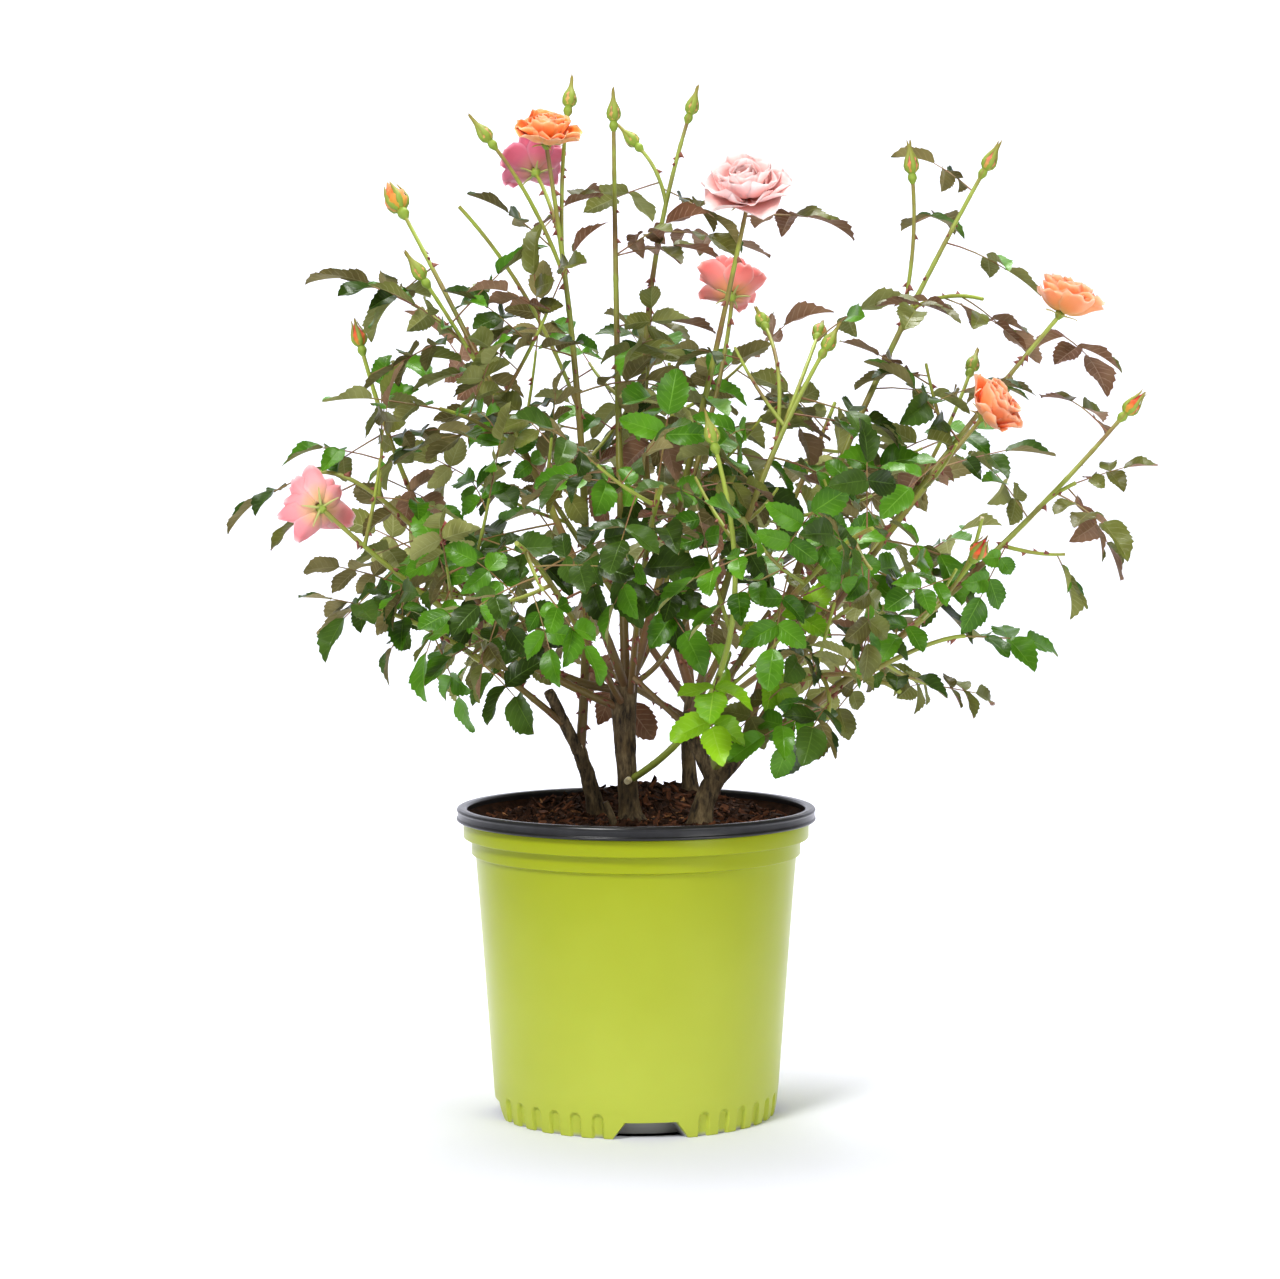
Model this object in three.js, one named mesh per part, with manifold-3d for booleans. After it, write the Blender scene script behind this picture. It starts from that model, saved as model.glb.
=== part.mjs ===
// Potted shrub rose: four short trunks in a thermoformed nursery pot carry canes that fan
// out into a rounded, open crown of five-part leaves, pointed buds and double blooms.
// Millimetres, +Z up. The origin is the middle of the pot's flat underside, and the plant's
// front, where the pale green cane leans forward, looks along -Y.
import * as THREE from "three";
import { mergeVertices } from "three/addons/utils/BufferGeometryUtils.js";
import Module from "manifold-3d";

const wasm = await Module();
wasm.setup();

// Pot: a round tapering shell with two collars under a black rolled rim
const pot = {
  footRadius: 108.6,
  heelRadius: 109.9,
  heelHeight: 6,
  wallTopRadius: 125.2,
  wallTop: 203,
  lowerCollarRadius: 128.3,
  lowerCollarTop: 216,
  upperCollarRadius: 134.6,
  collarRise: 2,
  shellTop: 229.2,
  wall: 2,
  facets: 32,
};
const rim = { radius: 140, innerRadius: 131.6, top: 240, roll: 2.6 };
const notch = {
  count: 4,
  firstTurn: 8,
  height: 12,
  topHalf: 15.5,
  footHalf: 26,
  depth: 20,
  clearance: 5,
};
const flute = { perQuarter: 6, firstTurn: 21.8, spacing: 9.4, radius: 3.6, bite: 1.5, height: 17.5 };

// Potting mix: its top slopes up to a mound behind the trunks
const soil = {
  edgeRadius: 130,
  edgeHeight: 229,
  edgePower: 6,
  moundHeight: 21,
  moundPlace: [10, 95],
  moundSpread: [75, 55],
  rings: [0, 0.4, 0.75, 1],
};

const gap = 0.3; // air between touching pieces
const finest = 0.01; // edges shorter than this are merged where pieces fuse
const seatDepth = 2; // how far a trunk's flat foot sits in the potting mix
const flareFade = 7; // height over which a root flare dies away

// Sides round each kind of limb, and straight steps along it
const mesh = {
  trunk: [8, 5],
  arm: [7, 3],
  bough: [5, 3],
  stem: [4, 4],
  twig: [3, 2],
};

// Trunks, with the radii of root flare, shaft and fork, and the arms that they fork into
const trunks = [
  { name: "trunk_left", start: [-31, 25], via: [-37, 21, 257], tip: [-45, 15, 283],
    flare: 9.5, radius: 6.4, top: 5.6 },
  { name: "trunk_centre", start: [-4, 0], via: [-8, 1, 278], tip: [-10, 5, 336],
    flare: 13, radius: 8.6, top: 10.5 },
  { name: "trunk_right", start: [49, -30], via: [53, -30, 247], tip: [61, -29, 264],
    flare: 12, radius: 8.4, top: 8 },
  { name: "trunk_back", start: [44, 82], via: [42, 84, 283], tip: [45, 86, 322],
    flare: 8.5, radius: 5.8, top: 5 },
];
const arms = [
  { name: "arm_left", start: [-45, 15, 280], via: [-57, 8, 306], tip: [-68, 0, 329],
    foot: 4.8, top: 4.2 },
  { name: "arm_right_stub", start: [60, -30, 262], via: [49, -33, 284], tip: [39, -36, 306],
    foot: 5.8, top: 5 },
  { name: "arm_right", start: [60, -29, 262], via: [72, -25, 273], tip: [87, -19, 291],
    foot: 6.6, top: 5.4 },
];

// Canes: each starts on a trunk or an arm, or on the cane named by from at a share of its
// length, passes through via and ends at tip. Its bare share is a bough, and the rest is the
// stem of a mass of foliage. Shoots leave the stem at the share named by at.
const canes = [
  { name: "left_low", start: [-12, 2, 316], via: [-124, -44, 380],
    tip: [-223, -78, 472], foot: 3.5, bare: 0.42, seed: 11, turn: 40,
    end: { kind: "bloom", size: 29, face: [-0.62, -0.76, -0.2] } },
  { name: "left_reach", from: "left_low", at: 0.34, via: [-186, -32, 472],
    tip: [-252, -20, 498], foot: 2.2, bare: 0, seed: 12, turn: 100, end: { kind: "leaf" } },
  { name: "left_high", start: [-12, 7, 330], via: [-128, 12, 400],
    tip: [-214, 34, 592], foot: 3.4, bare: 0.4, seed: 13, turn: 10, end: { kind: "bud" } },
  { name: "left_inner", from: "left_high", at: 0.3, via: [-118, 62, 410],
    tip: [-156, 66, 446], foot: 2, bare: 0, seed: 14, turn: 250,
    end: { kind: "bloom", size: 15, face: [-0.2, -0.9, 0.3] } },
  { name: "tall_left", start: [-9, -2, 334], via: [-74, -38, 492],
    tip: [-182, 56, 700], foot: 3.8, bare: 0.38, seed: 15, turn: 75,
    end: { kind: "bud", size: 1.3 },
    shoots: [{ at: 0.62, tip: [-159, -24, 642], end: { kind: "bud" } },
      { at: 0.55, tip: [-148, -62, 548], end: { kind: "leaf" } },
      { at: 0.74, tip: [-200, 18, 634], end: { kind: "leaf" } }] },
  { name: "tall_orange", start: [-44, 15, 278], via: [-42, 36, 500],
    tip: [-70, 22, 754], foot: 4, bare: 0.42, seed: 16, turn: 200,
    end: { kind: "bloom", size: 25, face: [0.1, -0.35, 0.93] },
    shoots: [{ at: 0.86, tip: [-80, 78, 736], end: { kind: "bloom", size: 25, face: [-0.3, 0.35, 0.9] } },
      { at: 0.84, tip: [-54, 52, 780], end: { kind: "bud" } },
      { at: 0.8, tip: [-110, 30, 752], end: { kind: "bud" } },
      { at: 0.6, tip: [-138, 24, 706], end: { kind: "leaf" } }] },
  { name: "thorny", start: [-8, 10, 332], via: [-14, 68, 540],
    tip: [-18, 92, 772], foot: 3.8, bare: 0.45, seed: 17, turn: 320, end: { kind: "bud" } },
  { name: "tall_back", start: [45, 86, 320], via: [6, 142, 548],
    tip: [42, 172, 786], foot: 4, bare: 0.4, seed: 18, turn: 140, end: { kind: "bud" },
    shoots: [{ at: 0.86, tip: [4, 184, 764], end: { kind: "bud" } }] },
  { name: "pale", start: [-4, 4, 333], via: [42, -4, 510],
    tip: [86, -16, 708], foot: 3.6, bare: 0.4, seed: 19, turn: 60,
    end: { kind: "bloom", size: 34, face: [-0.1, -0.5, 0.85] } },
  { name: "coral", from: "pale", at: 0.31, via: [60, 48, 548],
    tip: [76, 60, 638], foot: 2.2, bare: 0, seed: 20, turn: 190,
    end: { kind: "bloom", size: 27, face: [0, -0.9, 0.4] } },
  { name: "mid_right", start: [42, -36, 303], via: [82, -56, 458],
    tip: [141, -32, 588], foot: 3.4, bare: 0.38, seed: 21, turn: 20, end: { kind: "bud" },
    shoots: [{ at: 0.66, tip: [142, 46, 604], end: { kind: "bud" } },
      { at: 0.72, tip: [102, 38, 612], end: { kind: "bud" } }] },
  { name: "tall_right", start: [84, -17, 290], via: [158, 44, 500],
    tip: [272, 60, 732], foot: 4, bare: 0.42, seed: 22, turn: 300, end: { kind: "bud" },
    shoots: [{ at: 0.74, tip: [218, 58, 728], end: { kind: "bud" } },
      { at: 0.78, tip: [270, 20, 634], end: { kind: "leaf" } }] },
  { name: "right_orange", start: [86, -19, 290], via: [192, 10, 448],
    tip: [330, 16, 622], foot: 3.6, bare: 0.4, seed: 23, turn: 80,
    end: { kind: "bloom", size: 25, face: [0.25, -0.45, 0.85] },
    shoots: [{ at: 0.56, tip: [266, 84, 576], end: { kind: "bud" } }] },
  { name: "right_mid", from: "right_orange", at: 0.31, via: [212, -44, 478],
    tip: [264, -44, 542], foot: 2.3, bare: 0, seed: 24, turn: 160,
    end: { kind: "bloom", size: 23, face: [0.3, -0.75, 0.6] } },
  { name: "right_low", start: [86, -21, 288], via: [226, -50, 396],
    tip: [368, -44, 540], foot: 3.8, bare: 0.36, seed: 25, turn: 220, end: { kind: "bud" },
    shoots: [{ at: 0.5, tip: [252, -84, 434], end: { kind: "bud", size: 1.1 } },
      { at: 0.8, tip: [334, -50, 492], end: { kind: "leaf", size: 0.62 } }] },
  { name: "right_lowest", start: [86, -23, 284], via: [190, -14, 350],
    tip: [256, 6, 372], foot: 2.4, bare: 0.3, seed: 26, turn: 330, end: { kind: "leaf" } },
  { name: "right_hang", start: [42, -37, 297], via: [130, -106, 348],
    tip: [196, -118, 338], foot: 2.3, bare: 0.3, seed: 27, turn: 110, end: { kind: "leaf" },
    shoots: [{ at: 0.55, tip: [142, -122, 318], end: { kind: "leaf" } }] },
  { name: "front_green", start: [-2, -4, 262], via: [66, -140, 368],
    tip: [58, -172, 516], foot: 2.9, bare: 0.2, seed: 28, turn: 50, end: { kind: "bud" },
    shoots: [{ at: 0.3, tip: [88, -126, 346], end: { kind: "leaf" } },
      { at: 0.36, tip: [30, -166, 356], end: { kind: "leaf" } }] },
  { name: "left_lowest", start: [-58, 7, 304], via: [-128, -34, 362],
    tip: [-192, -66, 396], foot: 2.8, bare: 0.3, seed: 29, turn: 10, end: { kind: "leaf" },
    shoots: [{ at: 0.5, tip: [-116, -92, 358], end: { kind: "leaf" } }] },
  { name: "front_left", start: [-12, -4, 322], via: [-58, -130, 412],
    tip: [-84, -228, 452], foot: 2.9, bare: 0.4, seed: 30, turn: 270, end: { kind: "leaf" } },
  { name: "front_centre", start: [-4, -6, 330], via: [6, -124, 430],
    tip: [18, -236, 492], foot: 2.9, bare: 0.4, seed: 31, turn: 130, end: { kind: "leaf" } },
  { name: "front_right", start: [41, -38, 301], via: [118, -140, 414],
    tip: [168, -212, 462], foot: 3, bare: 0.38, seed: 32, turn: 210, end: { kind: "leaf" } },
  { name: "back_left", start: [43, 87, 312], via: [-52, 176, 448],
    tip: [-126, 224, 560], foot: 3.2, bare: 0.4, seed: 33, turn: 30, end: { kind: "leaf" } },
  { name: "back_centre", start: [45, 88, 316], via: [34, 198, 470],
    tip: [28, 262, 590], foot: 3.2, bare: 0.4, seed: 34, turn: 120, end: { kind: "leaf" } },
  { name: "back_right", start: [47, 88, 310], via: [120, 170, 452],
    tip: [168, 232, 556], foot: 3.2, bare: 0.4, seed: 35, turn: 240, end: { kind: "leaf" } },
  { name: "back_low_left", start: [42, 87, 300], via: [-70, 150, 362],
    tip: [-170, 188, 424], foot: 2.8, bare: 0.42, seed: 36, turn: 350, end: { kind: "leaf" } },
  { name: "back_low_right", start: [47, 87, 298], via: [142, 142, 362],
    tip: [226, 180, 420], foot: 2.8, bare: 0.42, seed: 37, turn: 90, end: { kind: "leaf" } },
];

// Growth rule of a mass: leaves stand a fixed turn apart on the stem, every few of them with
// a side twig in its angle
const growth = {
  tipRadius: 1.6,
  internode: 54,
  firstLeaf: 0.55,
  turnPerLeaf: 144,
  turnSpread: 18,
  rollSpread: 0.4,
  sizeSpread: 0.1,
  outShare: 0.85,
  alongShare: 0.5,
  lift: 0.12,
  largest: 1.05,
  shrink: 0.35,
  tries: [0, 55, -55],
};
const twig = {
  every: 3,
  lastShare: 0.8,
  length: [55, 95],
  radius: 1.7,
  tipRadius: 1.4,
  clearFrom: 0.35,
  leafPlaces: [0.45, 0.85],
  leafTurns: [90, 240],
  leafLift: 0.05,
  leafSize: 0.85,
  bend: { out: 0.45, along: 0.25 },
  end: { out: 0.3, along: 0.2, rise: 0.1 },
};
const shootBend = 0.35; // how far a shoot follows its stem before it turns to its own tip
const shootLeaf = { place: 0.5, lift: 0.15, size: 0.75 };
const endLeaf = { size: 0.9, sunk: 3, droop: 0.1 };
const leaf = {
  stalk: 60,
  stalkRadius: 0.8,
  stalkEndRadius: 0.7,
  pairPlace: 0.6,
  pairAngle: 62,
  rootHalf: 1.2,
  blade: [52, 32],
  pairBlade: [46, 29],
  widest: 0.42,
  droop: 0.25,
  ball: 4.5,
  ownReach: 1,
};

// Space of the whole crown: an egg-shaped outline, and the lowest that a leaf hangs
const crown = { middle: [30, 10, 500], half: [372, 335, 318], lowest: 254 };

// Bud and bloom as turned profiles: radius and height, for a bloom as shares of its size
const bud = {
  radius: 4.6,
  length: 27,
  facets: 5,
  profile: [[0, -3], [3.4, 1.5], [2.8, 5], [4.6, 11], [0, 27]],
};
const bloom = {
  facets: 10,
  ruffle: 0.12,
  rise: 0.5,
  sunk: 2,
  profile: [[0, -0.5], [0.16, -0.36], [0.62, -0.12], [1, 0.16], [0.72, 0.24], [0.42, 0.3], [0, 0.42]],
};

const up = new THREE.Vector3(0, 0, 1);
const radians = THREE.MathUtils.degToRad;

// A seeded row of draws, the same on every run
function dice(seed) {
  let state = seed;
  return (low, high) => {
    state = (state * 1664525 + 1013904223) % 4294967296;
    return low + ((high - low) * state) / 4294967296;
  };
}

// Closed solid from any three.js geometry, with its faces turned outwards
function solid(geometry) {
  const bare = geometry.clone();
  bare.deleteAttribute("normal");
  bare.deleteAttribute("uv");
  const merged = mergeVertices(bare, 1e-4);
  const triangles = [];
  const index = merged.index.array;
  for (let i = 0; i < index.length; i += 3) {
    const [a, b, c] = [index[i], index[i + 1], index[i + 2]];
    if (a !== b && b !== c && c !== a) {
      triangles.push(a, b, c);
    }
  }
  if (signedVolume(merged.attributes.position, triangles) < 0) {
    for (let i = 0; i < triangles.length; i += 3) {
      [triangles[i + 1], triangles[i + 2]] = [triangles[i + 2], triangles[i + 1]];
    }
  }
  return new wasm.Manifold(new wasm.Mesh({
    numProp: 3,
    vertProperties: new Float32Array(merged.attributes.position.array),
    triVerts: new Uint32Array(triangles),
  }));
}

function signedVolume(position, triangles) {
  const [a, b, c] = [new THREE.Vector3(), new THREE.Vector3(), new THREE.Vector3()];
  let volume = 0;
  for (let i = 0; i < triangles.length; i += 3) {
    a.fromBufferAttribute(position, triangles[i]);
    b.fromBufferAttribute(position, triangles[i + 1]);
    c.fromBufferAttribute(position, triangles[i + 2]);
    volume += a.dot(b.cross(c)) / 6;
  }
  return volume;
}

// The largest body of a solid, without the scraps that cutting or fusing leaves
function largest(piece) {
  const bodies = piece.decompose();
  bodies.sort((a, b) => b.volume() - a.volume());
  return bodies[0];
}

function joined(pieces) {
  return pieces.reduce((whole, piece) => whole.add(piece));
}

function lathe(points, facets) {
  const profile = points.map(([radius, height]) => new THREE.Vector2(radius, height));
  const shape = new THREE.LatheGeometry(profile, facets);
  shape.rotateX(Math.PI / 2);
  return shape;
}

// Curve from start to tip that passes through via at its middle
function courseOf(start, via, tip) {
  const first = new THREE.Vector3(...start);
  const last = new THREE.Vector3(...tip);
  const bend = new THREE.Vector3(...via).multiplyScalar(2);
  bend.addScaledVector(first, -0.5).addScaledVector(last, -0.5);
  return new THREE.QuadraticBezierCurve3(first, bend, last);
}

// Side directions of a course at one place, worked out from the vertical
function framesAt(course, place) {
  const along = course.getTangent(place);
  const side = new THREE.Vector3().crossVectors(along, up).normalize();
  const other = new THREE.Vector3().crossVectors(side, along);
  return { at: course.getPoint(place), along, side, other };
}

// Tapering limb: a turned profile bent along the stretch of a course between two places
function limb(course, from, to, radiusAt, [facets, steps]) {
  const profile = [[0, 0]];
  for (let i = 0; i <= steps; i++) {
    profile.push([radiusAt(i / steps), i / steps]);
  }
  profile.push([0, 1]);
  const shape = new THREE.LatheGeometry(profile.map((p) => new THREE.Vector2(...p)), facets);
  const position = shape.attributes.position;
  const frames = new Map();
  const first = course.getTangent(from);
  let side = new THREE.Vector3().crossVectors(first, up).normalize();
  for (let i = 0; i <= steps; i++) {
    const place = from + ((to - from) * i) / steps;
    const along = course.getTangent(place);
    side = side.clone().addScaledVector(along, -side.dot(along)).normalize();
    const other = new THREE.Vector3().crossVectors(side, along);
    frames.set(i, { at: course.getPoint(place), side, other });
  }
  for (let i = 0; i < position.count; i++) {
    const frame = frames.get(Math.round(position.getY(i) * steps));
    const point = frame.at.clone();
    point.addScaledVector(frame.side, position.getX(i));
    point.addScaledVector(frame.other, position.getZ(i));
    position.setXYZ(i, point.x, point.y, point.z);
  }
  return solid(shape);
}

// Radius of a straight taper, by the share of the way from foot to tip
const taper = (foot, tip) => (share) => foot + (tip - foot) * share;

// Pot

function potOutside() {
  return [
    [0, 0],
    [pot.footRadius, 0],
    [pot.heelRadius, pot.heelHeight],
    [pot.wallTopRadius, pot.wallTop],
    [pot.lowerCollarRadius, pot.wallTop + pot.collarRise],
    [pot.lowerCollarRadius, pot.lowerCollarTop],
    [pot.upperCollarRadius, pot.lowerCollarTop + pot.collarRise],
    [pot.upperCollarRadius, pot.shellTop],
    [0, pot.shellTop],
  ];
}

function potHollow() {
  return [
    [0, pot.wall],
    [pot.footRadius - pot.wall, pot.wall],
    [pot.wallTopRadius - pot.wall, pot.wallTop],
    [pot.lowerCollarRadius - pot.wall, pot.lowerCollarTop + pot.wall],
    [pot.upperCollarRadius - pot.wall, pot.lowerCollarTop + pot.collarRise + pot.wall],
    [pot.upperCollarRadius - pot.wall, pot.shellTop + pot.wall],
    [0, pot.shellTop + pot.wall],
  ];
}

// Drainage notches: sloping-sided pockets where the wall kicks in above the foot
function notches(grown) {
  const outline = new THREE.Shape();
  const below = -notch.clearance;
  const slope = (notch.footHalf - notch.topHalf) / notch.height;
  outline.moveTo(-notch.footHalf - grown + slope * below, below);
  outline.lineTo(notch.footHalf + grown - slope * below, below);
  outline.lineTo(notch.topHalf + grown, notch.height + grown);
  outline.lineTo(-notch.topHalf - grown, notch.height + grown);
  const reach = notch.depth + grown + 3 * notch.clearance;
  const pieces = [];
  for (let i = 0; i < notch.count; i++) {
    const shape = new THREE.ExtrudeGeometry(outline, { depth: reach, bevelEnabled: false });
    shape.rotateX(Math.PI / 2);
    shape.translate(0, -(pot.footRadius - notch.depth - grown), 0);
    shape.rotateZ(radians(notch.firstTurn + (i * 360) / notch.count));
    pieces.push(solid(shape));
  }
  return joined(pieces);
}

// Shallow upright flutes between the notches
function flutes() {
  const lean = Math.atan((pot.wallTopRadius - pot.heelRadius) / (pot.wallTop - pot.heelHeight));
  const pieces = [];
  for (let quarter = 0; quarter < notch.count; quarter++) {
    for (let i = 0; i < flute.perQuarter; i++) {
      const turn = notch.firstTurn + quarter * 90 + flute.firstTurn + i * flute.spacing;
      const shape = new THREE.CylinderGeometry(flute.radius, flute.radius, flute.height * 2, 6);
      shape.rotateX(Math.PI / 2);
      shape.rotateX(lean);
      shape.translate(0, -(pot.heelRadius + flute.radius - flute.bite), 0);
      shape.rotateZ(radians(turn));
      pieces.push(solid(shape));
    }
  }
  return joined(pieces);
}

function potShell() {
  const outside = solid(lathe(potOutside(), pot.facets)).subtract(notches(0));
  const hollow = solid(lathe(potHollow(), pot.facets)).subtract(notches(pot.wall));
  return outside.subtract(flutes()).subtract(hollow);
}

function rimRing() {
  const low = pot.shellTop + gap;
  const { radius, innerRadius, top, roll } = rim;
  return solid(lathe([
    [innerRadius, low],
    [radius - roll, low],
    [radius, low + roll],
    [radius, top - roll],
    [radius - roll, top],
    [innerRadius, top - 1],
    [innerRadius, low],
  ], pot.facets));
}

// Height of the potting mix at any place
function soilTop(x, y) {
  const across = (x - soil.moundPlace[0]) / soil.moundSpread[0];
  const back = (y - soil.moundPlace[1]) / soil.moundSpread[1];
  const edge = 1 - (Math.hypot(x, y) / soil.edgeRadius) ** soil.edgePower;
  const rise = Math.exp(-(across * across) - back * back);
  return soil.edgeHeight + soil.moundHeight * Math.max(edge, 0) * rise;
}

function soilBlock() {
  const inset = pot.wall + gap;
  const profile = [
    [0, inset],
    [pot.footRadius - inset - gap, inset],
    [pot.wallTopRadius - inset - gap, pot.wallTop],
    [pot.lowerCollarRadius - inset - gap, pot.lowerCollarTop + pot.collarRise + pot.wall],
    [soil.edgeRadius, pot.lowerCollarTop + pot.collarRise + pot.wall + inset],
  ];
  for (const share of [...soil.rings].reverse()) {
    profile.push([soil.edgeRadius * share, soil.edgeHeight]);
  }
  const shape = lathe(profile, pot.facets);
  const position = shape.attributes.position;
  for (let i = 0; i < position.count; i++) {
    if (position.getZ(i) > soil.edgeHeight - 0.01) {
      position.setZ(i, soilTop(position.getX(i), position.getY(i)));
    }
  }
  let block = solid(shape).subtract(notches(inset));
  for (const trunk of trunks) {
    block = block.subtract(trunkLimb(trunk, gap, gap));
  }
  return block;
}

// Trunks and arms

// A trunk has a root flare at its flat foot. grown makes it fatter, and sunk lowers its foot
function trunkLimb(trunk, grown, sunk) {
  const [x, y] = trunk.start;
  const foot = soilTop(x, y) - seatDepth - sunk;
  const course = courseOf([x, y, foot], trunk.via, trunk.tip);
  const length = course.getLength();
  const radiusAt = (share) => {
    const flare = (trunk.flare - trunk.radius) * Math.exp((-share * length) / flareFade);
    const swell = (trunk.top - trunk.radius) * share ** 3;
    return trunk.radius + flare + swell + grown;
  };
  const shape = limb(course, 0, 1, radiusAt, mesh.trunk);
  return shape.trimByPlane([0, 0, 1], foot);
}

const ballsOfLimbs = [];

// Balls along a limb, which leaves of other pieces keep clear of
function guardLimb(owner, course, from, to, radiusAt) {
  const steps = Math.ceil((course.getLength() * (to - from)) / 5);
  for (let i = 0; i <= steps; i++) {
    const at = course.getPoint(from + ((to - from) * i) / steps);
    ballsOfLimbs.push({ owner, at, radius: radiusAt(i / steps) + 1 });
  }
}

// Buds, blooms and leaves

// Turned shape set on a stalk's end, so that its height runs along a direction
function turnedOn(shape, at, along) {
  shape.rotateX(Math.PI / 2);
  shape.applyQuaternion(new THREE.Quaternion().setFromUnitVectors(up, along.clone().normalize()));
  shape.translate(at.x, at.y, at.z);
  return solid(shape);
}

function budSolid(at, along, size) {
  const points = bud.profile.map(([r, h]) => new THREE.Vector2(r * size, h * size));
  return turnedOn(new THREE.LatheGeometry(points, bud.facets), at, along);
}

// A double bloom: hip, spreading outer petals with a ruffled edge, and a raised heart
function bloomSolid(at, face, size) {
  const points = bloom.profile.map(([r, h]) => new THREE.Vector2(r * size, h * size));
  const shape = new THREE.LatheGeometry(points, bloom.facets);
  const position = shape.attributes.position;
  for (let i = 0; i < position.count; i++) {
    const turn = Math.atan2(position.getX(i), position.getZ(i));
    const reach = Math.hypot(position.getX(i), position.getZ(i)) / size;
    const wave = 1 + bloom.ruffle * Math.cos((turn * bloom.facets) / 2) * reach;
    position.setX(i, position.getX(i) * wave);
    position.setZ(i, position.getZ(i) * wave);
    position.setY(i, position.getY(i) + size * bloom.rise);
  }
  return turnedOn(shape, at, face);
}

// Outline of a leaflet: its two widest points and its tip
function bladePoints({ root, along, face, sides: [length, width] }) {
  const across = new THREE.Vector3().crossVectors(face, along).normalize();
  const middle = root.clone().addScaledVector(along, leaf.widest * length);
  return {
    left: middle.clone().addScaledVector(across, width / 2),
    right: middle.clone().addScaledVector(across, -width / 2),
    tip: root.clone().addScaledVector(along, length),
  };
}

// A compound leaf as one closed shell: a three-sided stalk, with a leaflet at its end and one
// on each side. A leaflet has a flat underside and a ridge from its root to its tip
function leafSolid(at, along, face, size, endBlade, sideBlades) {
  const across = new THREE.Vector3().crossVectors(face, along).normalize();
  const stalk = leaf.stalk * size;
  const pair = stalk * leaf.pairPlace;
  const corners = [];
  const triangles = [];
  const add = (point) => corners.push(point) - 1;
  const rings = [0, pair - leaf.rootHalf, pair + leaf.rootHalf, stalk].map((reach) => {
    const radius = leaf.stalkRadius + ((leaf.stalkEndRadius - leaf.stalkRadius) * reach) / stalk;
    const middle = at.clone().addScaledVector(along, reach);
    const low = middle.clone().addScaledVector(face, -radius / 2);
    return {
      left: add(low.clone().addScaledVector(across, radius)),
      right: add(low.clone().addScaledVector(across, -radius)),
      top: add(middle.addScaledVector(face, radius)),
    };
  });
  const band = (a, b, c, d) => triangles.push([a, b, c], [a, c, d]);
  triangles.push([rings[0].left, rings[0].right, rings[0].top]);
  for (let i = 0; i < 3; i++) {
    const [near, far] = [rings[i], rings[i + 1]];
    band(near.right, near.left, far.left, far.right);
    if (i !== 1 || !sideBlades[0]) {
      band(near.left, near.top, far.top, far.left);
    }
    if (i !== 1 || !sideBlades[1]) {
      band(near.top, near.right, far.right, far.top);
    }
  }
  const [, near, far, last] = rings;
  if (sideBlades[0]) {
    const points = bladePoints(sideBlades[0]);
    const [back, front, tip] = [add(points.left), add(points.right), add(points.tip)];
    triangles.push([near.top, far.top, tip], [far.top, front, tip], [near.top, tip, back]);
    triangles.push([back, tip, front], [near.left, back, front], [near.left, front, far.left]);
    triangles.push([near.top, back, near.left], [far.top, far.left, front]);
  }
  if (sideBlades[1]) {
    const points = bladePoints(sideBlades[1]);
    const [front, back, tip] = [add(points.left), add(points.right), add(points.tip)];
    triangles.push([far.top, near.top, tip], [far.top, tip, front], [near.top, back, tip]);
    triangles.push([back, front, tip], [near.right, front, back], [near.right, far.right, front]);
    triangles.push([near.top, near.right, back], [far.top, front, far.right]);
  }
  const points = bladePoints(endBlade);
  const [left, right, tip] = [add(points.left), add(points.right), add(points.tip)];
  triangles.push([last.top, tip, left], [last.top, left, last.left]);
  triangles.push([last.top, right, tip], [last.top, last.right, right]);
  triangles.push([left, tip, right], [last.left, left, right], [last.left, right, last.right]);
  const shape = new THREE.BufferGeometry().setFromPoints(corners);
  shape.setIndex(triangles.flat());
  return solid(shape);
}

// Balls that cover a leaflet, to tell where it would touch something else
function bladeBalls({ root, along, face, sides: [length, width] }) {
  const across = new THREE.Vector3().crossVectors(face, along).normalize();
  const places = [[0.15, 0], [0.35, 0], [0.55, 0], [0.76, 0], [0.95, 0],
    [0.35, 0.6], [0.35, -0.6], [0.58, 0.5], [0.58, -0.5]];
  return places.map(([reach, side]) => {
    const at = root.clone().addScaledVector(along, reach * length);
    return at.addScaledVector(across, (side * width) / 2);
  });
}

const ballsOfLeaves = [];

// Whether the points of a leaflet keep clear of the limbs of its own mass
function isOffOwnLimbs(owner, points) {
  return points.every((point) => ballsOfLimbs.every((ball) => (
    ball.owner !== owner || ball.at.distanceTo(point) > ball.radius + leaf.ownReach
  )));
}

// How far out a point lies: 1 is the crown's outline
function crownShare({ x, y, z }) {
  const [cx, cy, cz] = crown.middle;
  const [hx, hy, hz] = crown.half;
  return ((x - cx) / hx) ** 2 + ((y - cy) / hy) ** 2 + ((z - cz) / hz) ** 2;
}

// Whether points lie inside the crown, clear of all leaves and of every limb but the owner's
function isClear(owner, points) {
  for (const point of points) {
    if (point.z < crown.lowest || crownShare(point) > 1) {
      return false;
    }
    for (const ball of ballsOfLimbs) {
      if (ball.owner !== owner && ball.at.distanceTo(point) < ball.radius + leaf.ball) {
        return false;
      }
    }
    for (const ball of ballsOfLeaves) {
      const reach = ball.owner === owner ? leaf.ownReach : leaf.ball;
      if (ball.at.distanceTo(point) < ball.radius + reach) {
        return false;
      }
    }
  }
  return true;
}

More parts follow.
